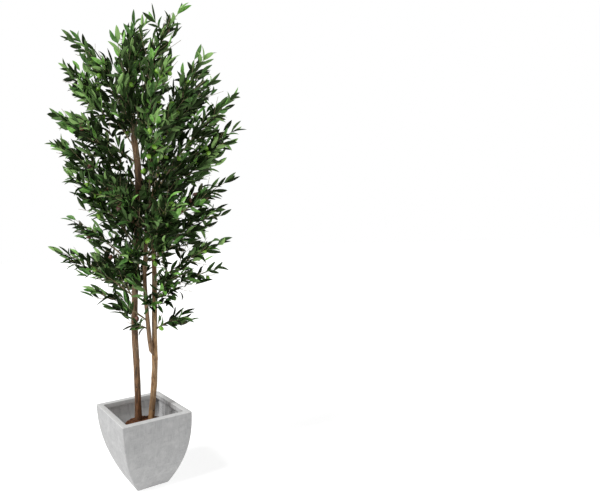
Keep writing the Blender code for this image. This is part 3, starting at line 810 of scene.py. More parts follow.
Spray = namedtuple("Spray", "trunk leavesAt bearing reach tipHeight bare")
onLeft, onRight, onMiddle = trunkShapes
sprays = [Spray(*row) for row in [
    (onMiddle, 0.665, 208, 0.120, 0.715, 0.00), (onMiddle, 0.700, 186, 0.265, 0.865, 0.08),
    (onLeft, 0.800, 184, 0.350, 1.040, 0.07), (onLeft, 0.790, 130, 0.300, 1.015, 0.00),
    (onLeft, 0.930, 166, 0.335, 1.185, 0.09), (onLeft, 1.020, 205, 0.310, 1.370, 0.00),
    (onLeft, 1.090, 110, 0.350, 1.400, 0.00), (onLeft, 1.160, 178, 0.375, 1.515, 0.09),
    (onLeft, 1.270, 226, 0.355, 1.550, 0.00), (onLeft, 1.390, 188, 0.375, 1.625, 0.09),
    (onLeft, 1.450, 166, 0.330, 1.880, 0.10), (onLeft, 1.475, 305, 0.290, 1.770, 0.00),
    (onLeft, 1.475, 95, 0.290, 1.900, 0.10), (onLeft, 1.450, 250, 0.165, 1.915, 0.10),
    (onLeft, None, 190, 0.240, 1.960, 0.13), (onLeft, None, 70, 0.090, 2.085, 0.16),
    (onLeft, None, 352, 0.245, 2.065, 0.16), (onRight, 0.655, 350, 0.165, 0.735, 0.00),
    (onRight, 0.745, 292, 0.180, 0.925, 0.00), (onRight, 0.800, 12, 0.335, 0.925, 0.00),
    (onRight, 0.860, 344, 0.335, 1.040, 0.00), (onRight, 0.930, 68, 0.320, 1.160, 0.00),
    (onRight, 0.980, 20, 0.360, 1.190, 0.00), (onRight, 1.050, 350, 0.365, 1.305, 0.10),
    (onRight, 1.140, 62, 0.370, 1.480, 0.00), (onRight, 1.180, 14, 0.410, 1.545, 0.10),
    (onRight, 1.245, 356, 0.395, 1.675, 0.11), (onRight, None, 30, 0.375, 1.820, 0.14),
    (onRight, None, 322, 0.315, 1.800, 0.18), (onMiddle, 0.745, 275, 0.130, 0.830, 0.00),
    (onLeft, 0.870, 268, 0.240, 1.030, 0.00), (onMiddle, 0.930, 292, 0.300, 1.200, 0.00),
    (onMiddle, 1.060, 240, 0.310, 1.310, 0.00), (onMiddle, None, 276, 0.300, 1.500, 0.08),
]]
sprayRule = {"curveOut": 0.36, "curveOutOnTop": 0.18, "curveUp": 0.56, "curvePoints": 40,
             "topSpread": 0.0055, "topSink": 0.004, "insideTrunk": 0.014,
             "endLeafReach": 0.085, "tipLeafReach": 0.052, "limbClearance": 0.0025}
limbShape = {"radii": (0.0038, 0.0030), "rings": 4, "sides": 5}  # a bare bough as in the CAD


def pointAtHeight(route, height):
    for low, high in zip(route, route[1:]):
        if low.z <= height <= high.z:
            return low.lerp(high, (height - low.z) / (high.z - low.z))
    return route[-1]


def sprayCurve(spray):
    route = trunkRoute(spray.trunk)
    turned = radians(spray.bearing) + treeTurn
    outward = Vector((cos(turned), sin(turned), 0))
    onTop = spray.leavesAt is None
    if onTop:
        start = route[-1] + outward * sprayRule["topSpread"]
        start -= Vector((0, 0, sprayRule["topSink"]))
    else:
        start = pointAtHeight(route, spray.leavesAt)
    rise = Vector((0, 0, spray.tipHeight - start.z))
    pullOut = sprayRule["curveOutOnTop"] if onTop else sprayRule["curveOut"]
    pull = start + outward * spray.reach * pullOut + rise * sprayRule["curveUp"]
    tip = start + outward * spray.reach + rise
    points = []
    for index in range(sprayRule["curvePoints"]):
        share = index / (sprayRule["curvePoints"] - 1)
        points.append(start * (1 - share) ** 2 + pull * 2 * share * (1 - share)
                      + tip * share ** 2)
    return points


def boughAndStem(spray, further):  # bare bough's line, CAD's stem, longer stem, whole line
    curve = sprayCurve(spray)
    whole = lengthOf(curve)
    end = whole - sprayRule["endLeafReach"]
    boughEnd = sprayRule["insideTrunk"] + spray.bare if spray.bare else 0
    start = boughEnd + gap if spray.bare else 0
    bough = stretchOf(curve, 0, boughEnd, limbShape["rings"]) if spray.bare else None
    stem = stretchOf(curve, start, end, sprayRule["curvePoints"])
    onward = [*curve, curve[-1] + headingAt(curve, whole) * further] if further else curve
    end = whole + further - sprayRule["tipLeafReach"]
    longer = stretchOf(onward, start, end, sprayRule["curvePoints"])
    return bough, stem, longer, onward


# sprays with fewer or more leaves than the rule gives
fullnessOf = {1: 1.5, 2: 0.65, 3: 0.65, 4: 1.2, 5: 0.5, 10: 0.9, 11: 1.05, 14: 0.8, 15: 0.8,
              16: 1.15, 17: 0.7, 19: 1.5, 20: 0.6, 21: 0.6, 22: 0.7, 23: 0.85, 24: 0.7, 27: 0.85,
              28: 1.1, 29: 1.2, 30: 1.5, 31: 1.5, 32: 1.5}
reachesOn = {7: 0.040, 26: 0.030, 32: 0.040, 34: 0.050}  # sprays with a longer tip
bareLooking = (11,)  # sprays whose bough bears no twigs
boughLines, stems, longStems, curves = zip(*[boughAndStem(spray, reachesOn.get(number, 0))
                                             for number, spray in enumerate(sprays, 1)])


def limbTubes():
    clearance = sprayRule["limbClearance"]
    tubes = []
    for name in trunkShapes:
        radii = [radius + clearance for radius in trunkRadii(name)]
        tubes.append(tube(trunkRoute(name), radii, trunkRule["sides"]))
    radii = [radius + clearance for radius in tapering(limbShape["radii"], limbShape["rings"])]
    return tubes + [tube(line, radii, limbShape["sides"]) for line in boughLines if line]


# room: each mass owns what is nearest its stem

roomRule = {"marks": 14, "apart": 0.005, "boxMargin": 0.016,
            "plumeShares": (0.0, 0.5, 0.8, 1.0), "plumeWidths": (0.115, 0.098, 0.064, 0.036),
            "widest": 1.2, "spare": 0.2, "mingleShares": (0.15, 0.55), "mingle": (-0.040, 0.0)}


def plumeHalfWidth(share):  # sprays taper to slim tips
    return numpy.interp(share, roomRule["plumeShares"], roomRule["plumeWidths"])


class Room:
    def __init__(self, lines, limbs):
        count = roomRule["marks"]
        self.marks = numpy.array([tuple(mark) for line in lines
                                  for mark in stretchOf(line, 0, lengthOf(line), count)])
        self.owners = numpy.repeat(numpy.arange(len(lines)), count)
        self.solids = [BVHTree.FromPolygons(*loft(rings)) for rings in limbs]

    def owns(self, index, points, margin=roomRule["apart"]):
        for point in points:
            distances = numpy.linalg.norm(self.marks - numpy.array(tuple(point)), axis=1)
            own = distances[self.owners == index].min()
            other = distances[self.owners != index].min()
            if own + margin > other:
                return False
        return True

    def holds(self, index, points):  # owned, and close enough to the line that carries it
        own = self.marks[self.owners == index]
        wider = min(roomRule["widest"], fullnessOf.get(index + 1, 1) + roomRule["spare"])
        for point in points:
            distances = numpy.linalg.norm(own - numpy.array(tuple(point)), axis=1)
            share = distances.argmin() / (roomRule["marks"] - 1)
            if distances.min() > plumeHalfWidth(share) * wider:
                return False
        margin = numpy.interp(share, roomRule["mingleShares"], roomRule["mingle"])
        return self.owns(index, points, margin)

    def isClear(self, vertices, faces):
        shape = BVHTree.FromPolygons(vertices, faces)
        return not any(shape.overlap(solid) for solid in self.solids)


def reachBox(index):  # how far a mass's leaves may reach: its solid, with its bough's
    corners = [*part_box(f"foliage_{index + 1:02d}"), *curves[index]]
    margin = roomRule["boxMargin"]
    return ([min(corner[axis] for corner in corners) - margin for axis in range(3)],
            [max(corner[axis] for corner in corners) + margin for axis in range(3)])


limbs = limbTubes()
room = Room(stems, limbs)
leafRoom = Room(curves, limbs)
reachBoxes = [reachBox(index) for index in range(len(sprays))]


def fitsReach(index, middle, tip):
    low, high = reachBoxes[index]
    inside = all(low[axis] <= tip[axis] <= high[axis] for axis in range(3))
    return inside and leafRoom.holds(index, (middle, tip))


# stems that show bare between the sprays: stem, from, to, half the width kept open
bareStretches = [("trunk_left", 1.290, 1.490, 0.020), ("trunk_middle", 0.850, 1.060, 0.014),
                 ("trunk_right", 0.860, 1.020, 0.012)]
viewedFrom = (0.0624, -1.9956, 1.0463)  # the camera's place
bareRule = {"step": 0.008, "inFront": 1.005}
bareSpots = [(tuple(pointAtHeight(trunkRoute(name), height)), halfWidth)
             for name, low, high, halfWidth in bareStretches
             for height in numpy.arange(low, high, bareRule["step"])]
barePoints, bareWidths = (numpy.array(column) for column in zip(*bareSpots))


def hidesStem(point):  # would it stand before a stretch of stem that shows bare
    eye = numpy.array(tuple(turnTree(viewedFrom)))
    sight = numpy.array(tuple(point)) - eye
    beyond = (barePoints - eye) @ sight / (sight @ sight)
    apart = numpy.linalg.norm(barePoints - eye - beyond[:, None] * sight, axis=1)
    return bool(((beyond > bareRule["inFront"]) & (apart < bareWidths)).any())


# foliage: the CAD's rule for stems and side twigs, carried on to finer twigs

twigRule = {"first": 0.14, "last": 0.78, "spacing": 0.040, "fewest": 2, "angle": radians(44),
            "angleSpread": 0.12, "length": (0.48, 0.24), "lengthSpread": 0.15, "rings": 3,
            "radii": (0.0026, 0.0015), "bend": 0.14, "lift": 0.05, "sides": 3,
            "fruitPlaces": (0.3, 0.7), "fruitShare": 0.20}
goldenTurn = radians(137.5)


def sideTwig(rng, stem, share, roll):
    whole = lengthOf(stem)
    along = headingAt(stem, share * whole)
    turn = swing(rng, twigRule["angleSpread"])
    heading = offAxis(along, roll, twigRule["angle"] + turn)
    longer = 1 + swing(rng, twigRule["lengthSpread"])
    step = whole * between(twigRule["length"], share) * longer / (twigRule["rings"] - 1)
    points = [pointAlong(stem, share * whole)]
    for _ in range(twigRule["rings"] - 1):
        points.append(points[-1] + heading * step)
        heading = (heading + along * twigRule["bend"]
                   + Vector((0, 0, twigRule["lift"]))).normalized()
    return points


def mainTwigs(index, stem):  # the side twigs and fruit places that the CAD's rule gives
    rng = Random(f"{seed} twigs {index}")
    whole = lengthOf(stem)
    first, last = twigRule["first"], twigRule["last"]
    count = max(twigRule["fewest"], round(whole * (last - first) / twigRule["spacing"]))
    roll = anyRoll(rng)
    twigs = []
    for number in range(count):
        share = first + (last - first) * number / (count - 1)
        points = sideTwig(rng, stem, share, roll)
        fruitPlace = rng.uniform(*twigRule["fruitPlaces"])
        fruitRoll = anyRoll(rng)
        bearsFruit = rng.random() < twigRule["fruitShare"]
        roll += goldenTurn
        rings = tube(points, tapering(twigRule["radii"], twigRule["rings"]), twigRule["sides"])
        if room.owns(index, points[1:]) and room.isClear(*loft(rings[1:])):
            twigs.append((points, (fruitPlace, fruitRoll) if bearsFruit else None))
    return twigs


# wires: radius at root and tip, sides
wireShapes = {"stem": (0.0024, 0.0011, 6), "side": (0.0014, 0.0008, 5), "sub": (0.0009, 0.0006, 4),
              "fill": (0.0011, 0.0007, 4), "companion": (0.0013, 0.0008, 5),
              "stalk": (0.0007, 0.00098, 5), "tendril": (0.0006, 0.0003, 4)}
bendRule = {"points": 5, "pull": 0.10, "stray": 0.10, "lift": 0.05}
wires = Batch()


def addWire(batch, points, kind):
    *radii, sides = wireShapes[kind]
    batch.add(tube(points, tapering(radii, len(points)), sides))


def anyWay(rng):
    return Vector((swing(rng, 1), swing(rng, 1), swing(rng, 1)))


def bentTwig(rng, start, heading, length, pull):  # a twig that turns towards pull
    points = [start]
    for _ in range(bendRule["points"] - 1):
        points.append(points[-1] + heading * length / (bendRule["points"] - 1))
        stray = anyWay(rng) * bendRule["stray"]
        heading = (heading + pull * bendRule["pull"] + stray
                   + Vector((0, 0, bendRule["lift"]))).normalized()
    return points


# leaves: in pairs along a twig, with a tuft at its tip, in tones that are fresh-looking and painted
# lighter outward and at the top, and painted darker inward as shade

leafShape = {"length": (0.052, 0.078), "width": (0.0144, 0.0218), "thickness": 0.0007,
             "stations": [0.0, 0.13, 0.36, 0.62, 0.85],
             "halfWidths": [0.10, 0.50, 0.98, 0.92, 0.52],
             "fold": (0.30, 0.75), "droop": (-0.25, 0.95), "sway": 0.22, "inward": 0.35,
             "upward": 0.5, "wander": 1.1, "middle": 0.45, "clearFrom": 0.012}
rowRule = {"spacing": 0.0240, "spacingSpread": (0.85, 1.2), "startSpread": 0.004,
           "endClear": 0.6, "angle": 0.68, "angleSpread": 0.22, "open": 1.15, "closing": 0.35,
           "rollSpread": 0.3, "turnSpread": 0.35, "size": (0.86, 0.14), "tuft": 3,
           "tuftAngle": (0.10, 0.45), "tuftFresher": 0.12}
# colours, and each tone's share of the leaves: at least, inmost, and its change outward; the dark
# tones inward paint the crown's shade, the pale tones outward are partly painted light
leafTones = {
    "deep": {"top": colour(0.0035, 0.0085, 0.0012), "tint": colour(0.009, 0.020, 0.004),
             "under": colour(0.011, 0.020, 0.006), "share": (0.55, 2.1, -1.45)},
    "dark": {"top": colour(0.010, 0.027, 0.004), "tint": colour(0.028, 0.060, 0.014),
             "under": colour(0.029, 0.052, 0.016), "share": (0, 0.85, 0)},
    "mid": {"top": colour(0.028, 0.083, 0.014), "tint": colour(0.075, 0.158, 0.050),
            "under": colour(0.070, 0.122, 0.040), "share": (0, 0.34, 0.3)},
    "lively": {"top": colour(0.054, 0.160, 0.027), "tint": colour(0.128, 0.270, 0.078),
               "under": colour(0.130, 0.220, 0.075), "share": (0, 0.14, 0.85)},
    "fresh": {"top": colour(0.146, 0.368, 0.056), "tint": colour(0.280, 0.515, 0.155),
              "under": colour(0.265, 0.430, 0.145), "share": (0.06, -0.78, 2.2)},
}
Leaf = namedtuple("Leaf", "root heading facing length width fold droop sway tone")
leaves = []


def toneFor(rng, outer):
    weights = [max(least, inmost + change * outer)
               for least, inmost, change in (tone["share"] for tone in leafTones.values())]
    return rng.choices(tuple(leafTones), weights)[0]


def addLeaf(rng, index, root, along, roll, angle, tone, scale=1.0):
    heading = offAxis(along, roll, angle)
    inward = (along - heading * along.dot(heading)).normalized()
    wander = anyWay(rng)
    facing = (inward * leafShape["inward"] + Vector((0, 0, leafShape["upward"]))
              + wander * leafShape["wander"])
    length = rng.uniform(*leafShape["length"]) * scale
    width = rng.uniform(*leafShape["width"]) * (1 + scale) / 2
    fold = rng.uniform(*leafShape["fold"])
    droop = rng.uniform(*leafShape["droop"])
    sway = swing(rng, leafShape["sway"])
    side = heading.cross(facing).normalized()
    middle = root + heading * length * leafShape["middle"]
    tip = root + heading * length
    if index is not None and not fitsReach(index, middle, tip):
        return
    if hidesStem(middle) or hidesStem(tip):
        return
    blade = [root + heading * leafShape["clearFrom"], middle + side * width / 2,
             middle - side * width / 2, tip]
    if room.isClear(blade, [(0, 1, 2), (1, 3, 2)]):
        leaves.append(Leaf(root, heading, facing, length, width, fold, droop, sway, tone))


def leafRow(rng, index, points, first, outer, keep=1.0):
    whole = lengthOf(points)
    place = whole * first + rng.uniform(0, rowRule["startSpread"])
    roll = anyRoll(rng)
    atRoot, growing = rowRule["size"]
    while place < whole - rowRule["spacing"] * rowRule["endClear"]:
        along = headingAt(points, place)
        root = pointAlong(points, place)
        share = place / whole
        for half in (0, pi):
            if rng.random() > keep:
                continue
            angle = rowRule["angle"] + swing(rng, 1) * rowRule["angleSpread"]
            angle *= rowRule["open"] - rowRule["closing"] * share
            leafRoll = roll + half + swing(rng, rowRule["rollSpread"])
            addLeaf(rng, index, root, along, leafRoll, angle, toneFor(rng, outer),
                    atRoot + growing * share)
        roll += pi / 2 + swing(rng, rowRule["turnSpread"])
        place += rowRule["spacing"] * rng.uniform(*rowRule["spacingSpread"])
    along = headingAt(points, whole)
    for step in range(rowRule["tuft"]):
        addLeaf(rng, index, points[-1], along, roll + 2 * pi * step / rowRule["tuft"],
                rng.uniform(*rowRule["tuftAngle"]), toneFor(rng, outer + rowRule["tuftFresher"]))


# fruits: where each hangs from, its heading and whether it is ripe
fruitRule = {"sag": 0.35, "ripeShare": 0.32, "pairShare": 0.5, "pairApart": 0.006,
             "pairTurn": 1.4}
fruits = []


def hangFruit(points, place, roll, ripe):
    along = headingAt(points, place)
    heading = offAxis(along, roll, pi / 2) - Vector((0, 0, fruitRule["sag"]))
    fruits.append((pointAlong(points, place), heading.normalized(), ripe))


# masses: a stem, its side twigs with finer ones, fill twigs all along and bundled wires

# towards the crown's top the leaves are made fresh-looking and painted lighter, from the heights
# given
massRule = {"fullFrom": (0.70, 0.98), "fullness": (0.55, 0.97), "freshLitFrom": (1.30, 1.95),
            "freshLit": 0.85, "stemRings": 16, "firstLeaf": 0.22, "outer": 0.62}
sideRule = {"longer": 0.040, "lift": 0.06, "rings": 7, "firstLeaf": 0.24, "outer": (0.35, 0.85),
            "thinning": 0.38, "leastFull": 0.42}
subRule = {"places": (0.22, 0.40, 0.58, 0.76), "until": 0.5, "length": (0.045, 0.075),
           "angle": 0.66, "angleSpread": (0.8, 1.2), "turnSpread": 0.5, "firstLeaf": 0.30}
fillRule = {"spacing": 0.018, "spacingSpread": (0.8, 1.2), "fromTrunk": 0.012, "last": 0.80,
            "length": (0.115, 0.055), "lengthSpread": (0.75, 1.2), "angle": 0.72,
            "angleSpread": (0.8, 1.2), "firstLeaf": 0.32, "outer": (0.10, 0.62),
            "fruitShare": 0.24, "fruitAt": 0.4, "tendrilShare": 0.06, "tendrilAngle": 1.1,
            "tendrilRadius": (0.004, 0.008)}
companionRule = {"count": 2, "end": (0.45, 0.85), "out": (0.018, 0.045), "twist": 2.5,
                 "points": 18, "beside": 0.0026, "partsAt": 0.35, "partsPower": 1.5,
                 "looseFrom": 12, "firstLeaf": 0.62, "outer": (0.3, 0.7)}
tendrils = []  # start, heading, radius of the curl


def freshAndLitTop(height):  # the top of the crown is fresh-looking and painted lighter, as lit leaves
    return numpy.interp(height, massRule["freshLitFrom"], (0, massRule["freshLit"]))


def growMass(index):
    rng = Random(f"{seed} fine twigs {index}")
    longStem = longStems[index]
    ripe = rng.random() < fruitRule["ripeShare"]
    line = stretchOf(longStem, 0, lengthOf(longStem), massRule["stemRings"])
    addWire(wires, line, "stem")
    height = sprays[index].tipHeight
    fullness = numpy.interp(height, massRule["fullFrom"], massRule["fullness"])
    fullness *= fullnessOf.get(index + 1, 1)
    outer = massRule["outer"] + freshAndLitTop(height)
    leafRow(rng, index, longStem, massRule["firstLeaf"], outer, fullness)
    for points, fruit in mainTwigs(index, stems[index]):
        growSide(rng, index, points, fruit, ripe, fullness)
    growFill(rng, index, ripe, fullness)
    for _ in range(companionRule["count"]):
        growCompanion(rng, index)


def growSide(rng, index, points, fruit, ripe, fullness):  # the CAD's twig, made longer
    longer = sideRule["longer"]
    reached = (points[0] - stems[index][0]).length / lengthOf(stems[index])
    onward = (points[-1] - points[-2]).normalized()
    points = [*points, points[-1] + onward * longer / 2,
              points[-1] + (onward + Vector((0, 0, sideRule["lift"]))).normalized() * longer]
    while len(points) > 3 and not leafRoom.holds(index, points[-1:]):
        points.pop()
    reach = lengthOf(points)
    addWire(wires, stretchOf(points, 0, reach, sideRule["rings"]), "side")
    outer = rng.uniform(*sideRule["outer"]) + freshAndLitTop(sprays[index].tipHeight)
    keep = max(sideRule["leastFull"], fullness - sideRule["thinning"] * reached)
    leafRow(rng, index, points, sideRule["firstLeaf"], outer, keep)
    if fruit:
        place, roll = fruit[0] * (reach - longer), fruit[1]
        hangFruit(points, place, roll, ripe)
        if rng.random() < fruitRule["pairShare"]:
            hangFruit(points, place + fruitRule["pairApart"], roll + fruitRule["pairTurn"],
                      ripe)
    roll = anyRoll(rng)
    for share in subRule["places"] if reached < subRule["until"] else ():
        along = headingAt(points, share * reach)
        heading = offAxis(along, roll, subRule["angle"] * rng.uniform(*subRule["angleSpread"]))
        start = pointAlong(points, share * reach)
        twig = bentTwig(rng, start, heading, rng.uniform(*subRule["length"]), along)
        roll += pi + swing(rng, subRule["turnSpread"])
        if leafRoom.holds(index, twig[2:]):
            addWire(wires, twig, "sub")
            leafRow(rng, index, twig, subRule["firstLeaf"], outer, keep)


def growFill(rng, index, ripe, fullness):  # short twigs all along, from the trunk to near the tip
    curve = curves[index]
    whole = lengthOf(curve)
    bareRun = sprays[index].bare if index + 1 in bareLooking else fillRule["fromTrunk"]
    place = sprayRule["insideTrunk"] + bareRun
    roll = anyRoll(rng)
    inmost, change = fillRule["outer"]
    while place < whole * fillRule["last"]:
        share = place / whole
        along = headingAt(curve, place)
        heading = offAxis(along, roll, fillRule["angle"] * rng.uniform(*fillRule["angleSpread"]))
        length = between(fillRule["length"], share) * rng.uniform(*fillRule["lengthSpread"])
        twig = bentTwig(rng, pointAlong(curve, place), heading, length, along)
        if leafRoom.holds(index, twig[2:]):
            addWire(wires, twig, "fill")
            leafRow(rng, index, twig, fillRule["firstLeaf"], inmost + change * share, fullness)
            if rng.random() < fillRule["fruitShare"]:
                hangFruit(twig, length * fillRule["fruitAt"], anyRoll(rng), ripe)
            if rng.random() < fillRule["tendrilShare"]:
                tendrils.append((twig[2], offAxis(along, roll, fillRule["tendrilAngle"]),
                                 rng.uniform(*fillRule["tendrilRadius"])))
        roll += goldenTurn
        place += fillRule["spacing"] / fullness * rng.uniform(*fillRule["spacingSpread"])


def growCompanion(rng, index):  # thin wires bundled with the bough, that part from the stem
    rule = companionRule
    curve = sprayCurve(sprays[index])
    end = lengthOf(curve) * rng.uniform(*rule["end"])
    out = rng.uniform(*rule["out"])
    roll = anyRoll(rng)
    twist = swing(rng, rule["twist"])
    points = []
    for step in range(rule["points"]):
        share = step / (rule["points"] - 1)
        along = headingAt(curve, end * share)
        offset = rule["beside"] + out * max(0, share - rule["partsAt"]) ** rule["partsPower"]
        points.append(pointAlong(curve, end * share)
                      + offAxis(along, roll + twist * share, pi / 2) * offset)
    if leafRoom.holds(index, points[rule["looseFrom"]:]):
        addWire(wires, points, "companion")
        leafRow(rng, index, points, rule["firstLeaf"], rng.uniform(*rule["outer"]))


# collars: trunk, lowest and highest tied-on twig, spacing
collars = [("trunk_left", 0.830, 1.250, 0.014), ("trunk_left", 1.505, 1.518, 0.0018),
           ("trunk_right", 1.020, 1.270, 0.015), ("trunk_middle", 1.090, 1.200, 0.018)]
collarRule = {"length": (0.07, 0.125), "standOff": 0.013, "heading": (0.64, 0.77),
              "spacingSpread": (0.7, 1.3), "firstLeaf": 0.28, "outer": (0.1, 0.5)}


def growCollars():  # short leafy twigs tied all round the poles, up among the boughs
    outShare, upShare = collarRule["heading"]
    for name, low, high, spacing in collars:
        rng = Random(f"{seed} collars {name} {low}")
        route = trunkRoute(name)
        height = low
        bearing = anyRoll(rng)
        while height < high:
            outward = Vector((cos(bearing), sin(bearing), 0))
            start = pointAtHeight(route, height) + outward * collarRule["standOff"]
            heading = outward * outShare + Vector((0, 0, upShare))
            twig = bentTwig(rng, start, heading, rng.uniform(*collarRule["length"]), outward)
            addWire(wires, twig, "fill")
            leafRow(rng, None, twig, collarRule["firstLeaf"], rng.uniform(*collarRule["outer"]))
            bearing += goldenTurn
            height += spacing * rng.uniform(*collarRule["spacingSpread"])


# twigs tied on where a spray is fuller: spray, share along it, bearing, rise, length
addedTwigs = [(1, 0.70, 175, 1.5, 0.070), (1, 0.55, 195, 2.2, 0.090), (30, 0.60, 180, 1.5, 0.095),
              (30, 0.85, 165, 2.4, 0.095), (19, 0.90, 200, 2.5, 0.100), (32, 0.55, 335, 0.7, 0.110),
              (32, 0.40, 350, 1.0, 0.110), (16, 0.62, 0, 1.5, 0.090), (16, 0.50, 345, 1.2, 0.110),
              (11, 0.72, 60, 2.0, 0.080), (15, 0.78, 200, 0.5, 0.080), (31, 0.60, 330, 1.2, 0.090),
              (16, 0.72, 350, 1.6, 0.090), (17, 0.74, 190, 1.6, 0.070),
              (17, 0.72, 340, 2.0, 0.055)]
addedRule = {"firstLeaf": 0.22, "outer": (0.4, 0.7)}


def growAdded():
    for number, share, bearing, rise, length in addedTwigs:
        rng = Random(f"{seed} added {number} {share}")
        curve = curves[number - 1]
        turned = radians(bearing) + treeTurn
        heading = Vector((cos(turned), sin(turned), rise)).normalized()
        start = pointAlong(curve, lengthOf(curve) * share)
        twig = bentTwig(rng, start, heading, length, heading)
        addWire(wires, twig, "fill")
        outer = rng.uniform(*addedRule["outer"]) + freshAndLitTop(start.z)
        leafRow(rng, None, twig, addedRule["firstLeaf"], outer)


for index in range(len(sprays)):
    growMass(index)
growCollars()
growAdded()
print("sprays grown,", len(leaves), "leaves,", len(fruits), "fruits,", len(tendrils), "tendrils")

# boughs: coated wire with small nodes along it

boughShape = {"radii": (0.0036, 0.0029), "rings": 26, "sides": 10, "uneven": 0.14,
              "unevenScale": 140, "nodes": 0.10, "nodeEvery": 7, "firstNode": 3}
boughLook = {"Pale": colour(0.33, 0.26, 0.14), "Dark": colour(0.13, 0.095, 0.05),
             "Weathered": colour(0.26, 0.24, 0.15), "Grain Scale": 160.0, "Weathering": 0.7}


def boughRadius(step, point, radius):
    uneven = boughShape["uneven"] * noise.noise(point * boughShape["unevenScale"])
    node = boughShape["nodes"] * (step % boughShape["nodeEvery"] == boughShape["firstNode"])
    return radius * (1 + uneven + node)


def makeBoughs():
    count = boughShape["rings"]
    batch = Batch()
    for line in filter(None, boughLines):
        points = stretchOf(line, 0, lengthOf(line), count)
        radii = map(boughRadius, range(count), points, tapering(boughShape["radii"], count))
        batch.add(tube(points, list(radii), boughShape["sides"]))
    look = makeMaterial("twig brown coating", woodGrain, boughLook,
                        {"strength": 0.6, "depth": 0.0008})
    boughNames = [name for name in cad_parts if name.startswith("bough")]
    settle(batch.piece("boughs", [look], sharpAngle=50), "twig_brown", *boughNames)
    print("boughs made,", len(boughNames), "boughs")
    return look


twigLook = makeBoughs()
massNames = [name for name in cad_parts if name.startswith("foliage")]
settle(wires.piece("twigs", [twigLook], sharpAngle=50), "twig_brown", *massNames)
print("twigs made,", len(wires.faces), "faces")

# leaves: each a folded, drooping blade with a paler underside

def leafMesh(rows):
    stations = numpy.array(leafShape["stations"])
    halfWidths = numpy.array(leafShape["halfWidths"])
    count = len(stations)
    root, heading, facing = (numpy.array([tuple(row[part]) for row in rows])
                             for part in range(3))
    length, width, fold, droop, sway = numpy.array([row[3:8] for row in rows]).T
    side = numpy.cross(heading, facing)
    side /= numpy.linalg.norm(side, axis=1)[:, None]
    upward = numpy.cross(side, heading)

    def centreAt(share):  # a point of the midrib, on an arc that droops and sways
        bent = length * share
        down = length * droop * share ** 2 / 2
        aside = length * sway * share ** 2 / 2
        shorter = bent * (1 - droop ** 2 * share ** 2 / 8)
        return (root + heading * shorter[:, None] - upward * down[:, None]
                + side * aside[:, None])

    per = 4 * count + 1
    points = numpy.zeros((len(rows), per, 3))
    for number, (share, half) in enumerate(zip(stations, halfWidths)):
        centre = centreAt(share)
        spreadOut = (width * half / 2)[:, None]
        lift = (width * half / 2 * numpy.tan(fold))[:, None]
        points[:, 4 * number] = centre + side * spreadOut + upward * lift
        points[:, 4 * number + 1] = centre
        points[:, 4 * number + 2] = centre - side * spreadOut + upward * lift
        points[:, 4 * number + 3] = centre - upward * leafShape["thickness"]
    points[:, per - 1] = centreAt(1.0)
    pattern = [(0, 1, 2, 3)]
    topSlot, underSlot = range(2)
    around = [topSlot, topSlot, underSlot, underSlot]
    slots = [underSlot, *around * count]
    for number in range(count - 1):
        low = 4 * number
        high = low + 4
        pattern += [(low, high, high + 1, low + 1), (low + 1, high + 1, high + 2, low + 2),
                    (low + 2, high + 2, high + 3, low + 3), (low + 3, high + 3, high, low)]
    low = 4 * (count - 1)
    tip = per - 1
    pattern += [(low, tip, low + 1), (low + 1, tip, low + 2), (low + 2, tip, low + 3),
                (low + 3, tip, low)]
    faces = [tuple(corner + per * number for corner in face)
             for number in range(len(rows)) for face in pattern]
    return points.reshape(-1, 3).tolist(), faces, slots * len(rows)


topLook = {"Amount": 0.95, "Scale": 80.0, "Smooth": 0.24, "Dull": 0.48}
underLook = {"Amount": 0.4, "Scale": 30.0, "Smooth": 0.62, "Dull": 0.8}
leafSheen = {"top": 0.34, "under": 0.15, "tint": colour(0.80, 1.0, 0.55)}


def makeLeaves():
    for tone, colours in leafTones.items():
        rows = [leaf for leaf in leaves if leaf.tone == tone]
        top = makeMaterial(f"leaf {tone}", softMottle,
                           {"Base": colours["top"], "Tint": colours["tint"], **topLook},
                           {"strength": 0.25, "depth": 0.0004},
                           Specular_IOR_Level=leafSheen["top"], Specular_Tint=leafSheen["tint"])
        under = makeMaterial(f"leaf {tone} underside", softMottle,
                             {"Base": colours["under"], "Tint": colours["tint"], **underLook},
                             {"strength": 0.3, "depth": 0.0004},
                             Specular_IOR_Level=leafSheen["under"],
                             Specular_Tint=leafSheen["tint"])
        vertices, faces, slots = leafMesh(rows)
        piece = makePiece(f"leaves{tone.capitalize()}", vertices, faces, [top, under], slots,
                          sharpAngle=22)
        settle(piece, "leaf_green", *massNames)
        print(piece.name, len(rows), "leaves,", len(faces), "faces")


makeLeaves()

# olives: mostly green, some ripe ones, on short stalks

oliveShape = {"length": 0.0255, "width": 0.0195, "sizes": (0.88, 1.1), "stalk": 0.009,
              "intoFlesh": 0.002, "centre": 0.47, "nub": 0.10, "nubFrom": 0.8}
olivePieces = [  # name, ripe, finish
    ("olivesGreen", False, {"Base": colour(0.155, 0.36, 0.022), "Tint": colour(0.30, 0.50, 0.06),
                            "Amount": 0.6, "Scale": 60.0, "Smooth": 0.26, "Dull": 0.4}),
    ("olivesRipe", True, {"Base": colour(0.085, 0.022, 0.014), "Tint": colour(0.16, 0.065, 0.035),
                          "Amount": 0.7, "Scale": 90.0, "Smooth": 0.3, "Dull": 0.5}),
]


def oliveForm():  # an olive one unit across, with a small point at its far end
    ball = bmesh.new()
    bmesh.ops.create_icosphere(ball, subdivisions=3, radius=0.5)
    points = [(x, y, z + oliveShape["nub"] * max(0, z * 2 - oliveShape["nubFrom"]))
              for x, y, z in (vertex.co for vertex in ball.verts)]
    faces = [tuple(vertex.index for vertex in face.verts) for face in ball.faces]
    ball.free()
    return points, faces


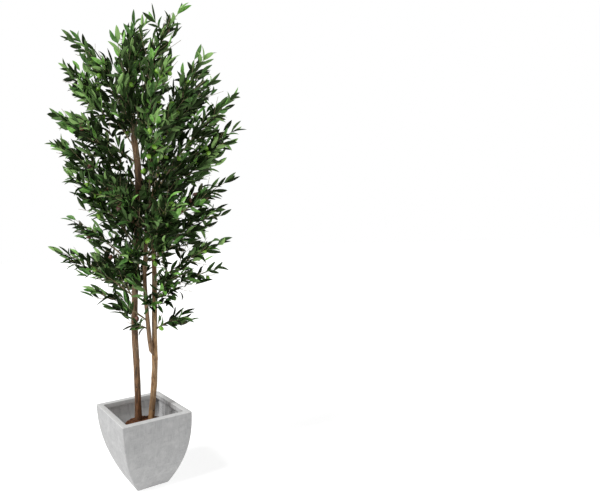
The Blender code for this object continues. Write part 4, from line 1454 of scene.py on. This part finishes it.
def makeOlives():
    form, formFaces = oliveForm()
    across, along = oliveShape["width"], oliveShape["length"]
    rng = Random("olives")
    stalks = Batch()
    for name, ripe, finish in olivePieces:
        vertices = []
        faces = []
        for start, heading, isRipe in fruits:
            if isRipe != ripe:
                continue
            size = rng.uniform(*oliveShape["sizes"])
            end = start + heading * oliveShape["stalk"]
            centre = end + heading * along * size * oliveShape["centre"]
            turn = heading.to_track_quat("Z", "Y")
            first = len(vertices)
            vertices += [centre + turn @ Vector((x * across * size, y * across * size,
                                                 z * along * size)) for x, y, z in form]
            faces += [tuple(corner + first for corner in face) for face in formFaces]
            addWire(stalks, [start, start.lerp(end, 0.5),
                             end + heading * oliveShape["intoFlesh"]], "stalk")
        look = makeMaterial(name, softMottle, finish, {"strength": 0.15, "depth": 0.0004},
                            Coat_Weight=0.25, Coat_Roughness=0.2)
        piece = makePiece(name, vertices, faces, [look], sharpAngle=70)
        settle(piece, "leaf_green", *massNames)
    settle(stalks.piece("oliveStalks", [twigLook], sharpAngle=60), "twig_brown", *massNames)
    print("olives made,", len(fruits), "fruits")


makeOlives()

# tendrils: thin curled wires at some twigs

tendrilShape = {"turns": (1.0, 2.2), "length": (0.025, 0.045), "points": 22}
tendrilLook = {"Base": colour(0.30, 0.27, 0.15), "Tint": colour(0.16, 0.15, 0.07),
               "Amount": 0.5, "Scale": 80.0, "Smooth": 0.5, "Dull": 0.7}


def makeTendrils():
    rng = Random("tendrils")
    curls = Batch()
    for start, heading, radius in tendrils:
        turns = rng.uniform(*tendrilShape["turns"])
        length = rng.uniform(*tendrilShape["length"])
        turn = heading.to_track_quat("Z", "Y")
        points = []
        for step in range(tendrilShape["points"]):
            share = step / (tendrilShape["points"] - 1)
            angle = 2 * pi * turns * share
            curl = radius * share
            points.append(start + turn @ Vector((curl * cos(angle), curl * sin(angle),
                                                 length * share)))
        addWire(curls, points, "tendril")
    look = makeMaterial("pale tendril", softMottle, tendrilLook,
                        {"strength": 0.2, "depth": 0.0003})
    settle(curls.piece("tendrils", [look], sharpAngle=70), "twig_brown", *massNames)
    print("tendrils made,", len(tendrils), "curls")


makeTendrils()

# studio: pale floor, soft light and the camera

studio = {"floorSize": 60.0, "floorLow": -0.0004, "floorGlow": 0.70, "surround": 0.40,
          "backdrop": 1.0, "keyStrength": 2.65, "keyAngle": radians(20),
          "keyFrom": (-0.68, -0.07, 0.73)}
floorLook = {"Base": grey(0.62), "Tint": grey(0.66), "Amount": 0.3, "Scale": 2.0, "Smooth": 0.7,
             "Dull": 0.8}
cameraShape = {"place": viewedFrom, "pitch": radians(-0.555),
               "roll": radians(-3.01), "lens": 27.16, "shiftX": 0.2533}


def addKeyLight():  # one broad, far light, as from a large window
    light = bpy.data.lights.new("keyLight", "SUN")
    light.energy = studio["keyStrength"]
    light.angle = studio["keyAngle"]
    made = bpy.data.objects.new("keyLight", light)
    made.rotation_euler = Vector(studio["keyFrom"]).to_track_quat("Z", "Y").to_euler()
    bpy.context.scene.collection.objects.link(made)


def makeSurround():  # dimmer to what it lights than it looks behind the tree
    world = bpy.data.worlds.new("soft white surround")
    world.use_nodes = True
    tree = world.node_tree
    backdrop = tree.nodes["Background"]
    backdrop.inputs["Color"].default_value = grey(1)
    path = tree.nodes.new("ShaderNodeLightPath")
    brighter = studio["backdrop"] - studio["surround"]
    strength = calc(tree, "MULTIPLY_ADD", path.outputs["Is Camera Ray"], brighter,
                    studio["surround"])
    tree.links.new(strength, backdrop.inputs["Strength"])
    bpy.context.scene.world = world


def makeStudio():
    half = studio["floorSize"] / 2
    look = makeMaterial("pale studio floor", softMottle, floorLook,
                        {"strength": 0.05, "depth": 0.0004}, Emission_Color=grey(1),
                        Emission_Strength=studio["floorGlow"])
    corners = [(across * half, along * half, studio["floorLow"])
               for across, along in ((-1, -1), (1, -1), (1, 1), (-1, 1))]
    floor = makePiece("studioFloor", corners, [(0, 1, 2, 3)], [look])
    makeSurround()
    addKeyLight()
    bpy.context.scene.view_settings.view_transform = "Standard"


def makeCamera():
    camera = bpy.data.cameras.new("camera")
    camera.lens = cameraShape["lens"]
    camera.shift_x = cameraShape["shiftX"]
    made = bpy.data.objects.new("camera", camera)
    aim = Euler((pi / 2 + cameraShape["pitch"], 0, 0)).to_matrix().to_4x4()
    made.matrix_world = (Matrix.Rotation(treeTurn, 4, "Z")
                         @ Matrix.Translation(cameraShape["place"]) @ aim
                         @ Matrix.Rotation(cameraShape["roll"], 4, "Z"))
    bpy.context.scene.collection.objects.link(made)
    bpy.context.scene.camera = made


makeStudio()
makeCamera()
print("studio ready")
